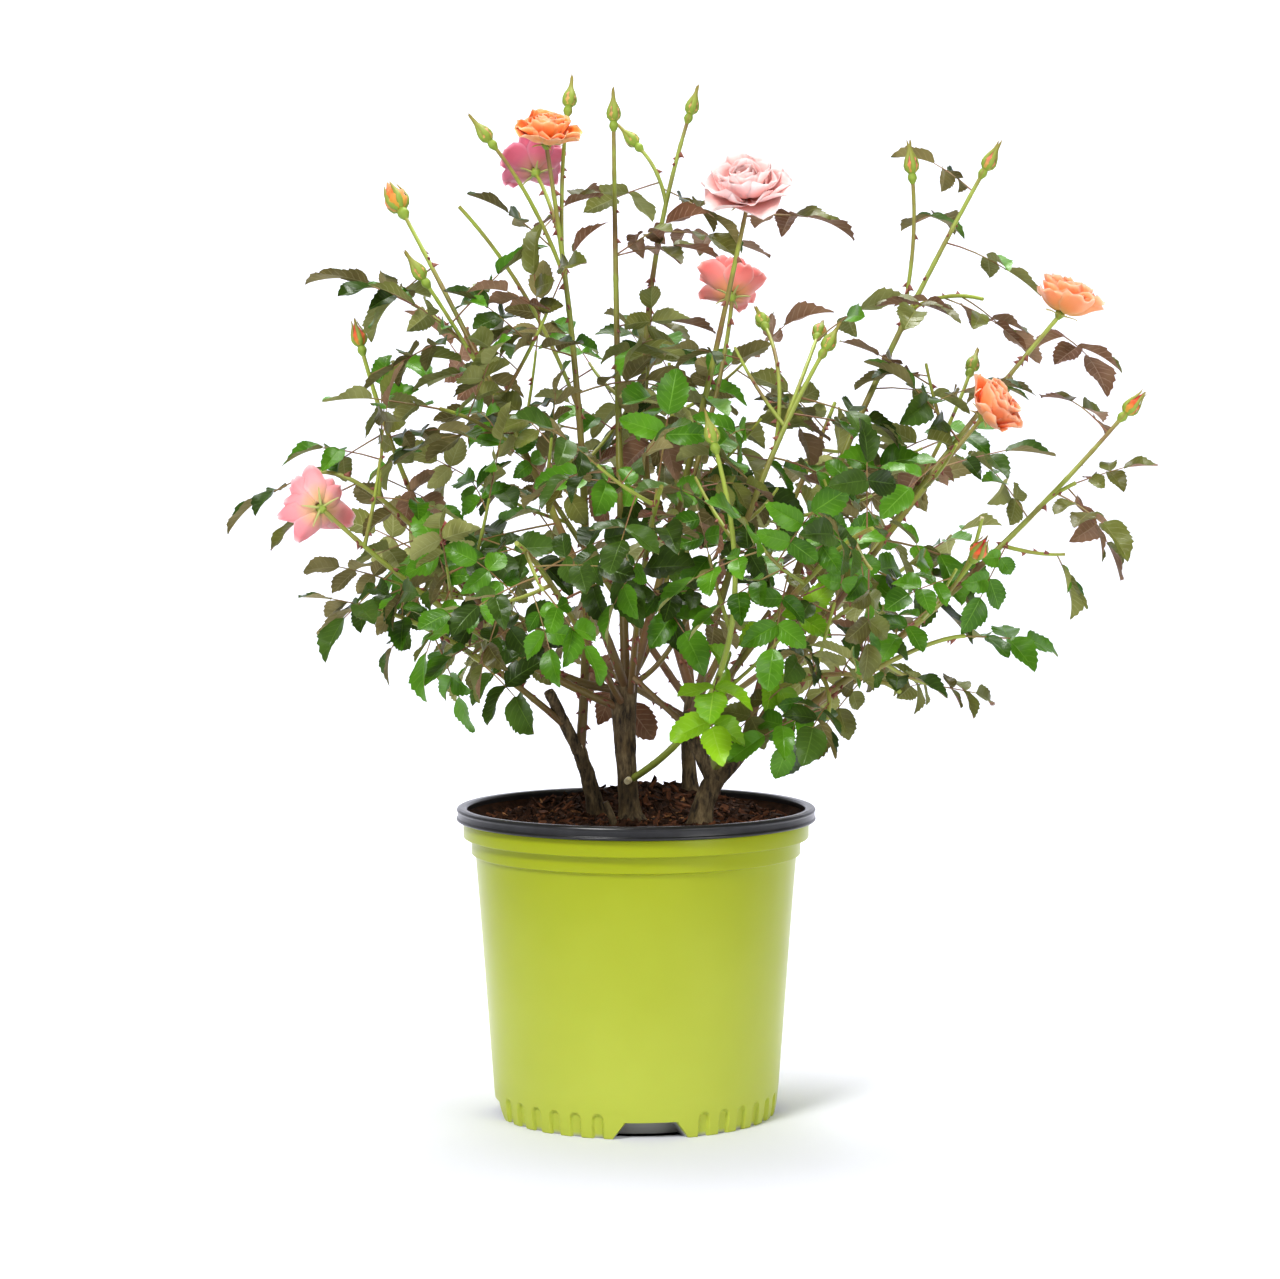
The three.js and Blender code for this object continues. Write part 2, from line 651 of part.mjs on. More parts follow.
// One compound leaf. It is left out where its stalk or its end leaflet would touch another
// piece, and so is each side leaflet
function leafAt(owner, at, direction, roll, size) {
  const along = direction.clone().normalize();
  const stalk = leaf.stalk * size;
  const face = up.clone().addScaledVector(along, -along.z).normalize();
  face.applyAxisAngle(along, roll);
  const blade = (reach, out, sides) => ({
    root: at.clone().addScaledVector(along, reach),
    along: out,
    face: face.clone().addScaledVector(out, -face.dot(out)).normalize(),
    sides: sides.map((side) => side * size),
  });
  const hanging = along.clone().addScaledVector(up, -leaf.droop).normalize();
  const endBlade = blade(stalk, hanging, leaf.blade);
  const points = bladeBalls(endBlade);
  if (!isOffOwnLimbs(owner, points)) {
    return null;
  }
  for (const share of [0.3, 0.5, 0.7, 0.9]) {
    points.push(at.clone().addScaledVector(along, share * stalk));
  }
  if (!isClear(owner, points)) {
    return null;
  }
  const sideBlades = [1, -1].map((side) => {
    const out = along.clone().applyAxisAngle(face, side * radians(leaf.pairAngle));
    out.addScaledVector(up, -leaf.droop / 2).normalize();
    const sideBlade = blade(stalk * leaf.pairPlace, out, leaf.pairBlade);
    const sidePoints = bladeBalls(sideBlade);
    if (!isClear(owner, sidePoints) || !isOffOwnLimbs(owner, sidePoints)) {
      return null;
    }
    points.push(...sidePoints);
    return sideBlade;
  });
  for (const point of points) {
    ballsOfLeaves.push({ owner, at: point, radius: leaf.ball });
  }
  return leafSolid(at, along, face, size, endBlade, sideBlades);
}

// Leaf in the angle of a stem at one place, turned round the stem until it is clear
function leafOn(owner, course, place, turn, lift, roll, size) {
  for (const change of growth.tries) {
    const frame = framesAt(course, place);
    const out = frame.side.applyAxisAngle(frame.along, radians(turn + change));
    const direction = out.multiplyScalar(growth.outShare);
    direction.addScaledVector(frame.along, growth.alongShare);
    direction.addScaledVector(up, lift);
    const piece = leafAt(owner, frame.at, direction, roll, size);
    if (piece) {
      return [piece];
    }
  }
  return [];
}

// Balls round the bloom or bud at a stem's end
function guardEnd(owner, course, end) {
  const { at, along } = framesAt(course, 1);
  const size = end.size ?? 1;
  if (end.kind === "bloom") {
    const face = new THREE.Vector3(...end.face).normalize();
    const heart = at.addScaledVector(face, size * bloom.rise);
    ballsOfLeaves.push({ owner, at: heart, radius: size });
  }
  if (end.kind === "bud") {
    for (const reach of [0.25, 0.5, 0.8]) {
      const place = at.clone().addScaledVector(along, reach * bud.length * size);
      ballsOfLeaves.push({ owner, at: place, radius: bud.radius * size });
    }
  }
}

function endPieces(owner, course, end) {
  const { at, along } = framesAt(course, 1);
  if (end.kind === "bloom") {
    const face = new THREE.Vector3(...end.face).normalize();
    return [bloomSolid(at.addScaledVector(face, -bloom.sunk), face, end.size)];
  }
  if (end.kind === "bud") {
    return [budSolid(at, along, end.size ?? 1)];
  }
  return lastLeaf(owner, course, 0, end.size ?? endLeaf.size);
}

// Leaf that carries on from a stem's end
function lastLeaf(owner, course, roll, size) {
  const { at, along } = framesAt(course, 1);
  const root = at.addScaledVector(along, -endLeaf.sunk);
  const piece = leafAt(owner, root, along.addScaledVector(up, -endLeaf.droop), roll, size);
  return piece ? [piece] : [];
}

// Stem, twigs and shoots of a mass, with what grows on them

// Radius of a cane at a share of its whole length
const radiusOn = (cane, share) => cane.foot + (growth.tipRadius - cane.foot) * share;

function shootCourse(parent, shoot) {
  const frame = framesAt(parent, shoot.at);
  const tip = new THREE.Vector3(...shoot.tip);
  const reach = frame.at.distanceTo(tip);
  const bend = frame.at.clone().addScaledVector(frame.along, reach * shootBend);
  bend.lerp(tip, shootBend);
  return new THREE.QuadraticBezierCurve3(frame.at, bend, tip);
}

function twigCourse(parent, place, turn, length) {
  const frame = framesAt(parent, place);
  const out = frame.side.applyAxisAngle(frame.along, radians(turn));
  const bend = frame.at.clone().addScaledVector(out, length * twig.bend.out);
  bend.addScaledVector(frame.along, length * twig.bend.along);
  const tip = bend.clone().addScaledVector(out, length * twig.end.out);
  tip.addScaledVector(frame.along, length * twig.end.along);
  tip.addScaledVector(up, length * twig.end.rise);
  return new THREE.QuadraticBezierCurve3(frame.at, bend, tip);
}

function pointsAlong(course, from) {
  const steps = Math.ceil((course.getLength() * (1 - from)) / 6);
  const points = [];
  for (let i = 0; i <= steps; i++) {
    points.push(course.getPoint(from + ((1 - from) * i) / steps));
  }
  return points;
}

// A side twig with its leaves, or nothing where it would touch another piece
function twigPieces(owner, course, place, turn, length, roll, size) {
  const path = twigCourse(course, place, turn, length);
  if (!isClear(owner, pointsAlong(path, twig.clearFrom))) {
    return [];
  }
  const pieces = [limb(path, 0, 1, taper(twig.radius, twig.tipRadius), mesh.twig)];
  guardLimb(owner, path, 0, 1, () => twig.radius);
  twig.leafPlaces.forEach((leafPlace, i) => {
    const leafTurn = turn + twig.leafTurns[i];
    pieces.push(...leafOn(owner, path, leafPlace, leafTurn, twig.leafLift, -roll, size));
  });
  pieces.push(...lastLeaf(owner, path, roll, size));
  return pieces;
}

function massSolid(cane, course, from) {
  const owner = `mass_${cane.name}`;
  const draw = dice(cane.seed);
  const { rollSpread, sizeSpread, turnSpread } = growth;
  const footRadius = radiusOn(cane, from);
  const pieces = [limb(course, from, 1, taper(footRadius, growth.tipRadius), mesh.stem)];
  pieces.push(...endPieces(owner, course, cane.end));
  for (const shoot of cane.shoots ?? []) {
    const path = shootCourse(course, shoot);
    pieces.push(limb(path, 0, 1, taper(twig.radius, growth.tipRadius), mesh.twig));
    pieces.push(...endPieces(owner, path, shoot.end));
    const turn = draw(0, 360);
    const roll = draw(-rollSpread, rollSpread);
    if (shoot.end.kind !== "leaf") {
      const { place, lift, size } = shootLeaf;
      pieces.push(...leafOn(owner, path, place, turn, lift, roll, size));
    }
  }
  const count = Math.round((course.getLength() * (1 - from)) / growth.internode);
  for (let i = 0; i < count; i++) {
    const share = (i + growth.firstLeaf) / count;
    const place = from + (1 - from) * share;
    const turn = cane.turn + i * growth.turnPerLeaf + draw(-turnSpread, turnSpread);
    const size = (growth.largest - growth.shrink * share) * draw(1 - sizeSpread, 1 + sizeSpread);
    const roll = draw(-rollSpread, rollSpread);
    const length = draw(...twig.length);
    if (i % twig.every === 1 && share < twig.lastShare) {
      pieces.push(...twigPieces(owner, course, place, turn, length, roll, size * twig.leafSize));
    } else {
      pieces.push(...leafOn(owner, course, place, turn, growth.lift, roll, size));
    }
  }
  return largest(joined(pieces)).simplify(finest);
}

// Assembly

const group = new THREE.Group();
const looks = {
  pot: { colour: 0xb6c52f, roughness: 0.35 },
  rim: { colour: 0x1b1c1e, roughness: 0.4 },
  soil: { colour: 0x3a2419, roughness: 0.95 },
  bark: { colour: 0x5b4a3a, roughness: 0.9 },
  cane: { colour: 0x6f7f3a, roughness: 0.6 },
  foliage: { colour: 0x3f6b2c, roughness: 0.5 },
};

function addMesh(name, piece, { colour, roughness }) {
  const data = piece.getMesh();
  const geometry = new THREE.BufferGeometry();
  geometry.setAttribute("position", new THREE.BufferAttribute(data.vertProperties, 3));
  geometry.setIndex(new THREE.BufferAttribute(data.triVerts, 1));
  geometry.computeVertexNormals();
  const material = new THREE.MeshStandardMaterial({ color: colour, roughness, metalness: 0 });
  const node = new THREE.Mesh(geometry, material);
  node.name = name;
  group.add(node);
}

addMesh("pot", potShell(), looks.pot);
addMesh("pot_rim", rimRing(), looks.rim);
addMesh("soil", soilBlock(), looks.soil);

const grownLimbs = new Map();
for (const trunk of trunks) {
  const foot = soilTop(...trunk.start) - seatDepth;
  const course = courseOf([...trunk.start, foot], trunk.via, trunk.tip);
  addMesh(trunk.name, trunkLimb(trunk, 0, 0), looks.bark);
  grownLimbs.set(trunk.name, trunkLimb(trunk, gap, 0));
  guardLimb(trunk.name, course, 0, 1, () => trunk.top + 1);
}

// A limb that starts inside others is cut back clear of all of them
function cutClear(shape, others) {
  return others.reduce((rest, other) => largest(rest.subtract(other)), shape);
}

function allGrown() {
  return [...grownLimbs.values()];
}

for (const arm of arms) {
  const course = courseOf(arm.start, arm.via, arm.tip);
  const radiusAt = taper(arm.foot, arm.top);
  const others = allGrown();
  addMesh(arm.name, cutClear(limb(course, 0, 1, radiusAt, mesh.arm), others), looks.bark);
  const grown = limb(course, 0, 1, taper(arm.foot + gap, arm.top + gap), mesh.arm);
  grownLimbs.set(arm.name, grown);
  guardLimb(arm.name, course, 0, 1, radiusAt);
}

const stems = new Map();
for (const cane of canes) {
  const start = cane.start ?? stems.get(cane.from).course.getPoint(cane.at).toArray();
  const course = courseOf(start, cane.via, cane.tip);
  const cut = radiusOn(cane, cane.bare);
  if (cane.bare > 0) {
    const bough = limb(course, 0, cane.bare, taper(cane.foot, cut), mesh.bough);
    addMesh(`bough_${cane.name}`, cutClear(bough, allGrown()), looks.cane);
    const grown = limb(course, 0, cane.bare, taper(cane.foot + gap, cut + gap), mesh.bough);
    grownLimbs.set(cane.name, grown);
    guardLimb(`bough_${cane.name}`, course, 0, cane.bare, taper(cane.foot, cut));
  }
  const owner = `mass_${cane.name}`;
  guardLimb(owner, course, cane.bare, 1, taper(cut, growth.tipRadius));
  guardEnd(owner, course, cane.end);
  for (const shoot of cane.shoots ?? []) {
    const path = shootCourse(course, shoot);
    guardLimb(owner, path, 0, 1, () => twig.radius);
    guardEnd(owner, path, shoot.end);
  }
  stems.set(cane.name, { cane, course });
}

for (const { cane, course } of stems.values()) {
  const from = cane.bare > 0 ? cane.bare + gap / course.getLength() : 0;
  let mass = massSolid(cane, course, from);
  if (cane.bare === 0) {
    mass = cutClear(mass, allGrown());
  }
  addMesh(`mass_${cane.name}`, mass, looks.foliage);
}

export default group;
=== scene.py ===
import math

from itertools import product

import bpy
import numpy as np
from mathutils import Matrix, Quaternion, Vector, noise


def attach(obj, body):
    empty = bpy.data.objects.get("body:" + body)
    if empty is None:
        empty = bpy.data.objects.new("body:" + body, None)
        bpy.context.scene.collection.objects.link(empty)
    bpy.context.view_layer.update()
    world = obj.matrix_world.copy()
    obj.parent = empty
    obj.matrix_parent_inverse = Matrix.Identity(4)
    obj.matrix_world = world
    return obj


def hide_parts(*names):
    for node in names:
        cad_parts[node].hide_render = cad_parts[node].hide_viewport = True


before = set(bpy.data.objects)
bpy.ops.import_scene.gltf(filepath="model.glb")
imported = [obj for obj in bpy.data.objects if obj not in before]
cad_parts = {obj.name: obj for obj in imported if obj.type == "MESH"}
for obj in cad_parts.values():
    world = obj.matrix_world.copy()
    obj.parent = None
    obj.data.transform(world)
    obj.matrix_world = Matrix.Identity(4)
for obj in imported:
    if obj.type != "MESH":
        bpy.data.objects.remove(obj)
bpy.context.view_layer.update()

# Tables and sizes below are in millimetres, as in the solid model. newPiece turns them to metres
mm = 0.001
up = Vector((0, 0, 1))


# sRGB hex to the linear colour that shaders take
def linear(hexColour):
    channels = [int(hexColour[i:i + 2], 16) / 255 for i in (1, 3, 5)]
    return [c / 12.92 if c <= 0.04045 else ((c + 0.055) / 1.055) ** 2.4 for c in channels] + [1]


# One node. A name is a property of the node or one of its inputs, a value may be a socket to link
def addNode(tree, kind, settings=None):
    made = tree.nodes.new(kind)
    for name, value in (settings or {}).items():
        if isinstance(value, bpy.types.NodeSocket):
            tree.links.new(value, made.inputs[name])
        elif isinstance(name, str) and hasattr(made, name):
            setattr(made, name, value)
        else:
            made.inputs[name].default_value = value
    return made


# A skin in the making: its shader, the places that patterns are measured from, and short ways to
# add the nodes that skins share. Sizes of patterns are in millimetres
class Skin:
    def __init__(self, name, settings):
        self.material = bpy.data.materials.new(name)
        self.material.use_nodes = True
        self.tree = self.material.node_tree
        self.shader = self.tree.nodes["Principled BSDF"]
        for socket, value in settings.items():
            self.shader.inputs[socket].default_value = value
        self.place = self.add("ShaderNodeTexCoord", {}).outputs
        self.onMap = self.add("ShaderNodeSeparateXYZ", {0: self.place["UV"]}).outputs

    def add(self, kind, settings):
        return addNode(self.tree, kind, settings)

    def maths(self, operation, *values):
        return self.add("ShaderNodeMath", {"operation": operation, **dict(enumerate(values))}).outputs[0]

    def noise(self, size, detail=2.0, roughness=0.5, vector=None):
        return self.add("ShaderNodeTexNoise", {
            "Scale": 1 / (size * mm), "Detail": detail, "Roughness": roughness,
            "Vector": vector or self.place["Object"]}).outputs["Fac"]

    def mapped(self, value, low, high, most=1.0, least=0.0):
        return self.add("ShaderNodeMapRange", {"From Min": low, "From Max": high, "To Min": least,
                                               "To Max": most, "Value": value}).outputs[0]

    def attribute(self, name):
        return self.add("ShaderNodeAttribute", {"attribute_name": name}).outputs["Fac"]

    # How far a point lies from the middle line of its blade: 0 on it, 0.5 at the edge
    def across(self):
        return self.maths("ABSOLUTE", self.maths("SUBTRACT", self.onMap["X"], 0.5))

    def mixed(self, factor, first, second):
        made = self.add("ShaderNodeMix", {"data_type": "RGBA", "Factor": factor})
        for slot, colour in ((6, first), (7, second)):
            if isinstance(colour, str):
                made.inputs[slot].default_value = linear(colour)
            else:
                self.tree.links.new(colour, made.inputs[slot])
        return made.outputs[2]

    def ramp(self, factor, *stops):
        made = self.add("ShaderNodeValToRGB", {"Fac": factor})
        for position, _ in stops[1:-1]:
            made.color_ramp.elements.new(position)
        for element, (position, colour) in zip(made.color_ramp.elements, stops):
            element.position, element.color = position, linear(colour)
        return made.outputs["Color"]

    # Feeds the shader its colour, and a bump of the given strength and depth
    def finish(self, colour, height, strength, depth, invert=False):
        bump = self.add("ShaderNodeBump", {"Strength": strength, "Distance": depth * mm,
                                           "invert": invert, "Height": height})
        self.tree.links.new(colour, self.shader.inputs["Base Color"])
        self.tree.links.new(bump.outputs[0], self.shader.inputs["Normal"])
        return self.material


# Growth: the same rule, tables and seeded draws as the solid model's, with more leaves

# Rows of a table as dictionaries, from the names of its columns
def table(columns, *rows):
    return [dict(zip(columns.split(), row)) for row in rows]


# Trunks, with the radii of root flare, shaft and fork, and the arms that they fork into
trunks = table(
    "name start via tip flare radius top",
    ("trunk_left", (-31, 25), (-37, 21, 257), (-45, 15, 283), 9.5, 6.4, 5.6),
    ("trunk_centre", (-4, 0), (-8, 1, 278), (-10, 5, 336), 13, 7.8, 11.4),
    ("trunk_right", (49, -30), (53, -30, 247), (61, -29, 264), 12, 8.4, 8),
    ("trunk_back", (44, 82), (42, 84, 283), (45, 86, 322), 8.5, 5.8, 5))
arms = table(
    "name start via tip foot top",
    ("arm_left", (-45, 15, 280), (-57, 8, 306), (-68, 0, 329), 4.8, 4.2),
    ("arm_right_stub", (60, -30, 262), (49, -33, 284), (39, -36, 306), 5.8, 5),
    ("arm_right", (60, -29, 262), (72, -25, 273), (87, -19, 291), 6.6, 5.4))


# What a cane or shoot carries at its end
def bloom(size, *face):
    return dict(kind="bloom", size=size, face=face)


def bud(size=1):
    return dict(kind="bud", size=size)


def leaf(size=0.9):
    return dict(kind="leaf", size=size)


def newShoot(at, tip, end, leaves=2):
    return dict(at=at, tip=tip, end=end, leaves=leaves)


# Canes start on a trunk or an arm, or on another cane at a share of its length. bare is the share
# of a cane below its first leaf, turn the direction of that leaf in degrees
canes = table(
    "name start via tip foot bare turn end shoots",
    ("left_low", (-12, 2, 316), (-124, -44, 380), (-236, -84, 474), 3.5, 0.42, 40,
     bloom(29, -0.45, 0.88, 0.12)),
    ("left_reach", ("left_low", 0.34), (-186, -32, 472), (-252, -20, 498), 2.2, 0, 100, leaf(0.72)),
    ("left_high", (-12, 7, 330), (-128, 12, 400), (-214, 34, 592), 3.4, 0.4, 10, bud()),
    ("left_inner", ("left_high", 0.3), (-118, 62, 410), (-156, 66, 446), 2, 0, 250,
     bloom(15, -0.2, -0.9, 0.3)),
    ("tall_left", (-9, -2, 334), (-74, -38, 492), (-182, 56, 700), 3.8, 0.38, 75, bud(1.3),
     [newShoot(0.62, (-159, -24, 642), bud()), newShoot(0.55, (-148, -62, 548), leaf()),
      newShoot(0.74, (-174, 14, 630), leaf(0.8))]),
    ("tall_orange", (-44, 15, 278), (-42, 36, 500), (-70, 22, 754), 4, 0.42, 200,
     bloom(25, 0.08, -0.42, 0.9),
     [newShoot(0.86, (-80, 78, 736), bloom(25, -0.2, 0.6, 0.75)), newShoot(0.84, (-54, 52, 780), bud()),
      newShoot(0.8, (-110, 30, 752), bud()), newShoot(0.6, (-138, 24, 706), leaf())]),
    ("thorny", (-8, 10, 332), (-14, 68, 540), (-18, 92, 772), 3.8, 0.45, 320, bud()),
    ("tall_back", (45, 86, 320), (6, 142, 548), (42, 172, 786), 4, 0.4, 140, bud(),
     [newShoot(0.86, (4, 184, 764), bud())]),
    ("pale", (-4, 4, 333), (42, -4, 510), (86, -16, 708), 3.6, 0.4, 60, bloom(34, -0.1, -0.6, 0.75)),
    ("coral", ("pale", 0.31), (60, 48, 548), (76, 60, 638), 2.2, 0, 190, bloom(27, 0, 0.62, 0.78)),
    ("mid_right", (42, -36, 303), (82, -56, 458), (141, -32, 588), 3.4, 0.38, 20, bud(),
     [newShoot(0.66, (142, 46, 604), bud()), newShoot(0.72, (102, 38, 612), bud())]),
    ("tall_right", (84, -17, 290), (158, 44, 500), (272, 60, 732), 4, 0.42, 300, bud(),
     [newShoot(0.74, (218, 58, 728), bud()), newShoot(0.78, (270, 20, 634), leaf())]),
    ("right_orange", (86, -19, 290), (192, 10, 448), (330, 16, 622), 3.6, 0.4, 80,
     bloom(25, 0.35, -0.1, 0.93), [newShoot(0.56, (266, 84, 576), bud())]),
    ("right_mid", ("right_orange", 0.31), (212, -44, 478), (264, -44, 542), 2.3, 0, 160,
     bloom(23, 0.66, -0.4, 0.62)),
    ("right_low", (86, -21, 288), (226, -50, 396), (368, -44, 540), 3.8, 0.36, 220, bud(),
     [newShoot(0.5, (252, -84, 434), bud(1.1)), newShoot(0.8, (334, -50, 492), leaf(0.62))]),
    ("right_lowest", (86, -23, 284), (190, -14, 350), (256, 6, 372), 2.4, 0.3, 330, leaf()),
    ("right_hang", (42, -37, 297), (130, -106, 348), (196, -118, 338), 2.3, 0.3, 110, leaf(),
     [newShoot(0.55, (142, -122, 318), leaf())]),
    ("front_green", (-2, -4, 262), (66, -140, 368), (58, -172, 516), 2.9, 0.2, 50, bud(),
     [newShoot(0.34, (54, -116, 328), leaf(0.86), 0), newShoot(0.42, (60, -134, 349), leaf(0.8), 0)]),
    ("left_lowest", (-58, 7, 304), (-128, -34, 362), (-192, -66, 396), 2.8, 0.3, 10, leaf(0.66),
     [newShoot(0.5, (-116, -92, 358), leaf())]),
    ("front_left", (-12, -4, 322), (-58, -130, 412), (-84, -228, 452), 2.9, 0.4, 270, leaf()),
    ("front_centre", (-4, -6, 330), (6, -124, 430), (18, -236, 492), 2.9, 0.4, 130, leaf()),
    ("front_right", (41, -38, 301), (118, -140, 414), (168, -212, 462), 3, 0.38, 210, leaf()),
    ("back_left", (43, 87, 312), (-52, 176, 448), (-126, 224, 560), 3.2, 0.4, 30, leaf()),
    ("back_centre", (45, 88, 316), (34, 198, 470), (28, 262, 590), 3.2, 0.4, 120, leaf()),
    ("back_right", (47, 88, 310), (120, 170, 452), (168, 232, 556), 3.2, 0.4, 240, leaf()),
    ("back_low_left", (42, 87, 300), (-70, 150, 362), (-170, 188, 424), 2.8, 0.42, 350, leaf()),
    ("back_low_right", (47, 87, 298), (142, 142, 362), (226, 180, 420), 2.8, 0.42, 90, leaf()))
firstSeed = 11
soil = dict(edgeRadius=130, edgeHeight=229, edgePower=6, moundHeight=21, moundPlace=(10, 95),
            moundSpread=(75, 55))
crown = dict(middle=(30, 10, 500), half=(372, 335, 318), front=-292, lowest=254,
             riseLeft=0.0015, riseRight=0.0007)
skyGaps = dict(  # open places in the crown, as seen from in front: x, height, half-width
    eye=(0, -2477, 526),
    plane=20,
    places=((-85, 278, 26), (317, 444, 26), (151, 667, 22), (-242, 607, 22), (241, 457, 24),
            (194, 303, 20), (296, 348, 20), (123, 646, 18), (-7, 654, 18), (-257, 428, 18),
            (321, 537, 18), (-115, 687, 20), (191, 710, 17), (186, 672, 16), (259, 312, 16),
            (-195, 688, 16), (59, 765, 15), (35, 637, 15), (368, 494, 15), (302, 395, 15),
            (-1, 727, 17), (259, 485, 15), (333, 376, 14), (-236, 543, 14), (239, 367, 14),
            (-194, 609, 13), (-85, 582, 14), (-92, 647, 13), (233, 589, 14), (120, 583, 14),
            (-134, 730, 10), (196, 551, 11), (-160, 560, 9), (84, 566, 8), (-49, 577, 9),
            (241, 657, 9), (-59, 689, 9), (-35, 554, 8), (248, 539, 8), (-28, 682, 8),
            (342, 498, 10), (-83, 615, 9), (269, 533, 8), (324, 505, 8)),
)
roots = dict(seatDepth=2, flareFade=7)  # how deep trunks stand in the mix, how soon the flare fades
# The internode is half the solid model's, which has every second leaf. Past a share of each cane,
# and low down, some nodes have dropped their leaf
growth = dict(tipRadius=1.6, internode=27, firstLeaf=0.55, turnPerLeaf=144, turnSpread=18,
              rollSpread=0.4, sizeSpread=0.14, outShare=0.85, lift=0.12, largest=0.96, shrink=0.2,
              tries=(0, 55, -55), thinFrom=0.4, thinBelow=350, thinShare=0.64, toneSeed=900)
posture = dict(low=380, high=620, lift=(-0.22, -0.02), along=(0.3, 0.15), out=(1.5, 0.2), droop=0.22,
               longer=0.22, slimmer=0.05, bareFoot=0.6)
twig = dict(every=3, lastShare=0.8, highest=560, length=(55, 95), radius=1.7, tipRadius=1.1,
            clearFrom=0.35, checkStep=6, reaches=(1.5, 2.5), leafPlaces=(0.3, 0.55, 0.85),
            leafTurns=(90, 240, 20), leafLift=0.05, leafSize=0.82, bendOut=0.45, bendAlong=0.25,
            endOut=0.3, endAlong=0.2, endRise=0.1, internode=0.3, leafyFrom=0.3)
shoots = dict(bend=0.35, tipRadius=1.5, firstSeed=50, leafyFrom=0.1, places=(0.35, 0.7), turn=140,
              lift=0.15, size=0.8)
endLeaf = dict(sunk=3, droop=0.04, farthest=1.06, stiff=0.4)
filler = dict(  # where the end leaflets of some more leaves lie, as seen from in front: x, height
    points=24,
    lastShare=0.96,
    reach=(30, 84),
    best=60,
    tries=14,
    places=((180, 599), (-121, 288), (71, 294), (34, 703), (115, 284), (-108, 715), (299, 664),
            (184, 644), (263, 398), (-149, 316), (-275, 466), (228, 346), (380, 515), (-234, 390),
            (-180, 639), (164, 458), (-218, 658), (-21, 393), (92, 300), (-100, 300), (140, 300),
            (-60, 380), (150, 480), (-250, 500), (-40, 420), (10, 287), (84, 605), (-80, 670),
            (-123, 639), (-28, 736), (291, 616), (-135, 321), (47, 433), (243, 571), (7, 313),
            (74, 695), (-136, 713), (30, 380), (60, 400)),
)


def dice(seed):
    state = [seed]

    def draw(low, high):
        state[0] = (state[0] * 1664525 + 1013904223) % 4294967296
        return low + (high - low) * state[0] / 4294967296

    return draw


# The first draw is much the same for near seeds, so it is left out
def shuffled(seed):
    draw = dice(seed)
    draw(0, 1)
    return draw


# A limb's middle line: a bent line from start to tip
class Course:
    def __init__(self, start, bend, tip):
        self.start, self.bend, self.tip = Vector(start), Vector(bend), Vector(tip)

    def point(self, t):
        return self.start * (1 - t) ** 2 + self.bend * (2 * t * (1 - t)) + self.tip * t ** 2

    def along(self, t):
        return ((self.bend - self.start) * (1 - t) + (self.tip - self.bend) * t).normalized()

    def length(self):
        points = [self.point(i / 40) for i in range(41)]
        return sum((b - a).length for a, b in zip(points, points[1:]))

    # side and other are level and upright directions across the limb
    def frameAt(self, t):
        along = self.along(t)
        side = along.cross(up).normalized()
        return self.point(t), along, side, side.cross(along)


def courseThrough(start, via, tip):
    start, via, tip = Vector(start), Vector(via), Vector(tip)
    return Course(start, via * 2 - start / 2 - tip / 2, tip)


def straight(start, tip):
    return courseThrough(start, (start + tip) / 2, tip)


def between(low, high, share):
    return low + (high - low) * share


def taper(foot, tip):
    return lambda share: between(foot, tip, share)


def soilTop(x, y):
    across = (x - soil["moundPlace"][0]) / soil["moundSpread"][0]
    back = (y - soil["moundPlace"][1]) / soil["moundSpread"][1]
    edge = max(1 - (math.hypot(x, y) / soil["edgeRadius"]) ** soil["edgePower"], 0)
    return soil["edgeHeight"] + soil["moundHeight"] * edge * math.exp(-across ** 2 - back ** 2)


# Balls that stand for what has grown, kept in a grid so that near ones are found fast
class Guard:
    def __init__(self, cell):
        self.cell, self.grid = cell, {}

    def keyOf(self, point):
        return tuple(int(math.floor(v / self.cell)) for v in point)

    def add(self, point, radius=0):
        self.grid.setdefault(self.keyOf(point), []).append((Vector(point), radius))

    def touches(self, point, reach=0):
        near = product(*((v - 1, v, v + 1) for v in self.keyOf(point)))
        return any((at - point).length < radius + reach
                   for key in near for at, radius in self.grid.get(key, ()))


limbGuard, endGuard, leafGuard = Guard(22), Guard(50), Guard(12)
guardStep, guardMargin = 5, 1


def guardLimb(course, radiusAt):
    steps = math.ceil(course.length() / guardStep)
    for i in range(steps + 1):
        limbGuard.add(course.point(i / steps), radiusAt(i / steps) + guardMargin)


# From 0 for leaves low in the crown, which hang and face out, to 1 for high ones, held level
def heightShare(height):
    return min(max((height - posture["low"]) / (posture["high"] - posture["low"]), 0), 1)


def crownShare(point):
    return sum(((p - m) / h) ** 2 for p, m, h in zip(point, crown["middle"], crown["half"]))


def underCrown(point):
    away = point.x - crown["middle"][0]
    rise = crown["riseLeft"] if away < 0 else crown["riseRight"]
    return point.z < crown["lowest"] + rise * away ** 2


# Where a point is seen from in front: x and height on one upright plane
def seenAt(point):
    eyeX, eyeY, eyeZ = skyGaps["eye"]
    nearer = (skyGaps["plane"] - eyeY) / (point.y - eyeY)
    return eyeX + (point.x - eyeX) * nearer, eyeZ + (point.z - eyeZ) * nearer


# Blooms and buds that nothing hides, as seen from in front: x, height, half-width and depth
shownEnds = []


def inSkyGap(point):
    x, z = seenAt(point)
    return any((x - gx) ** 2 + (z - gz) ** 2 < half ** 2 for gx, gz, half in skyGaps["places"])


def hidesEnd(point):
    x, z = seenAt(point)
    return any(point.y < depth and (x - gx) ** 2 + (z - gz) ** 2 < half ** 2
               for gx, gz, half, depth in shownEnds)


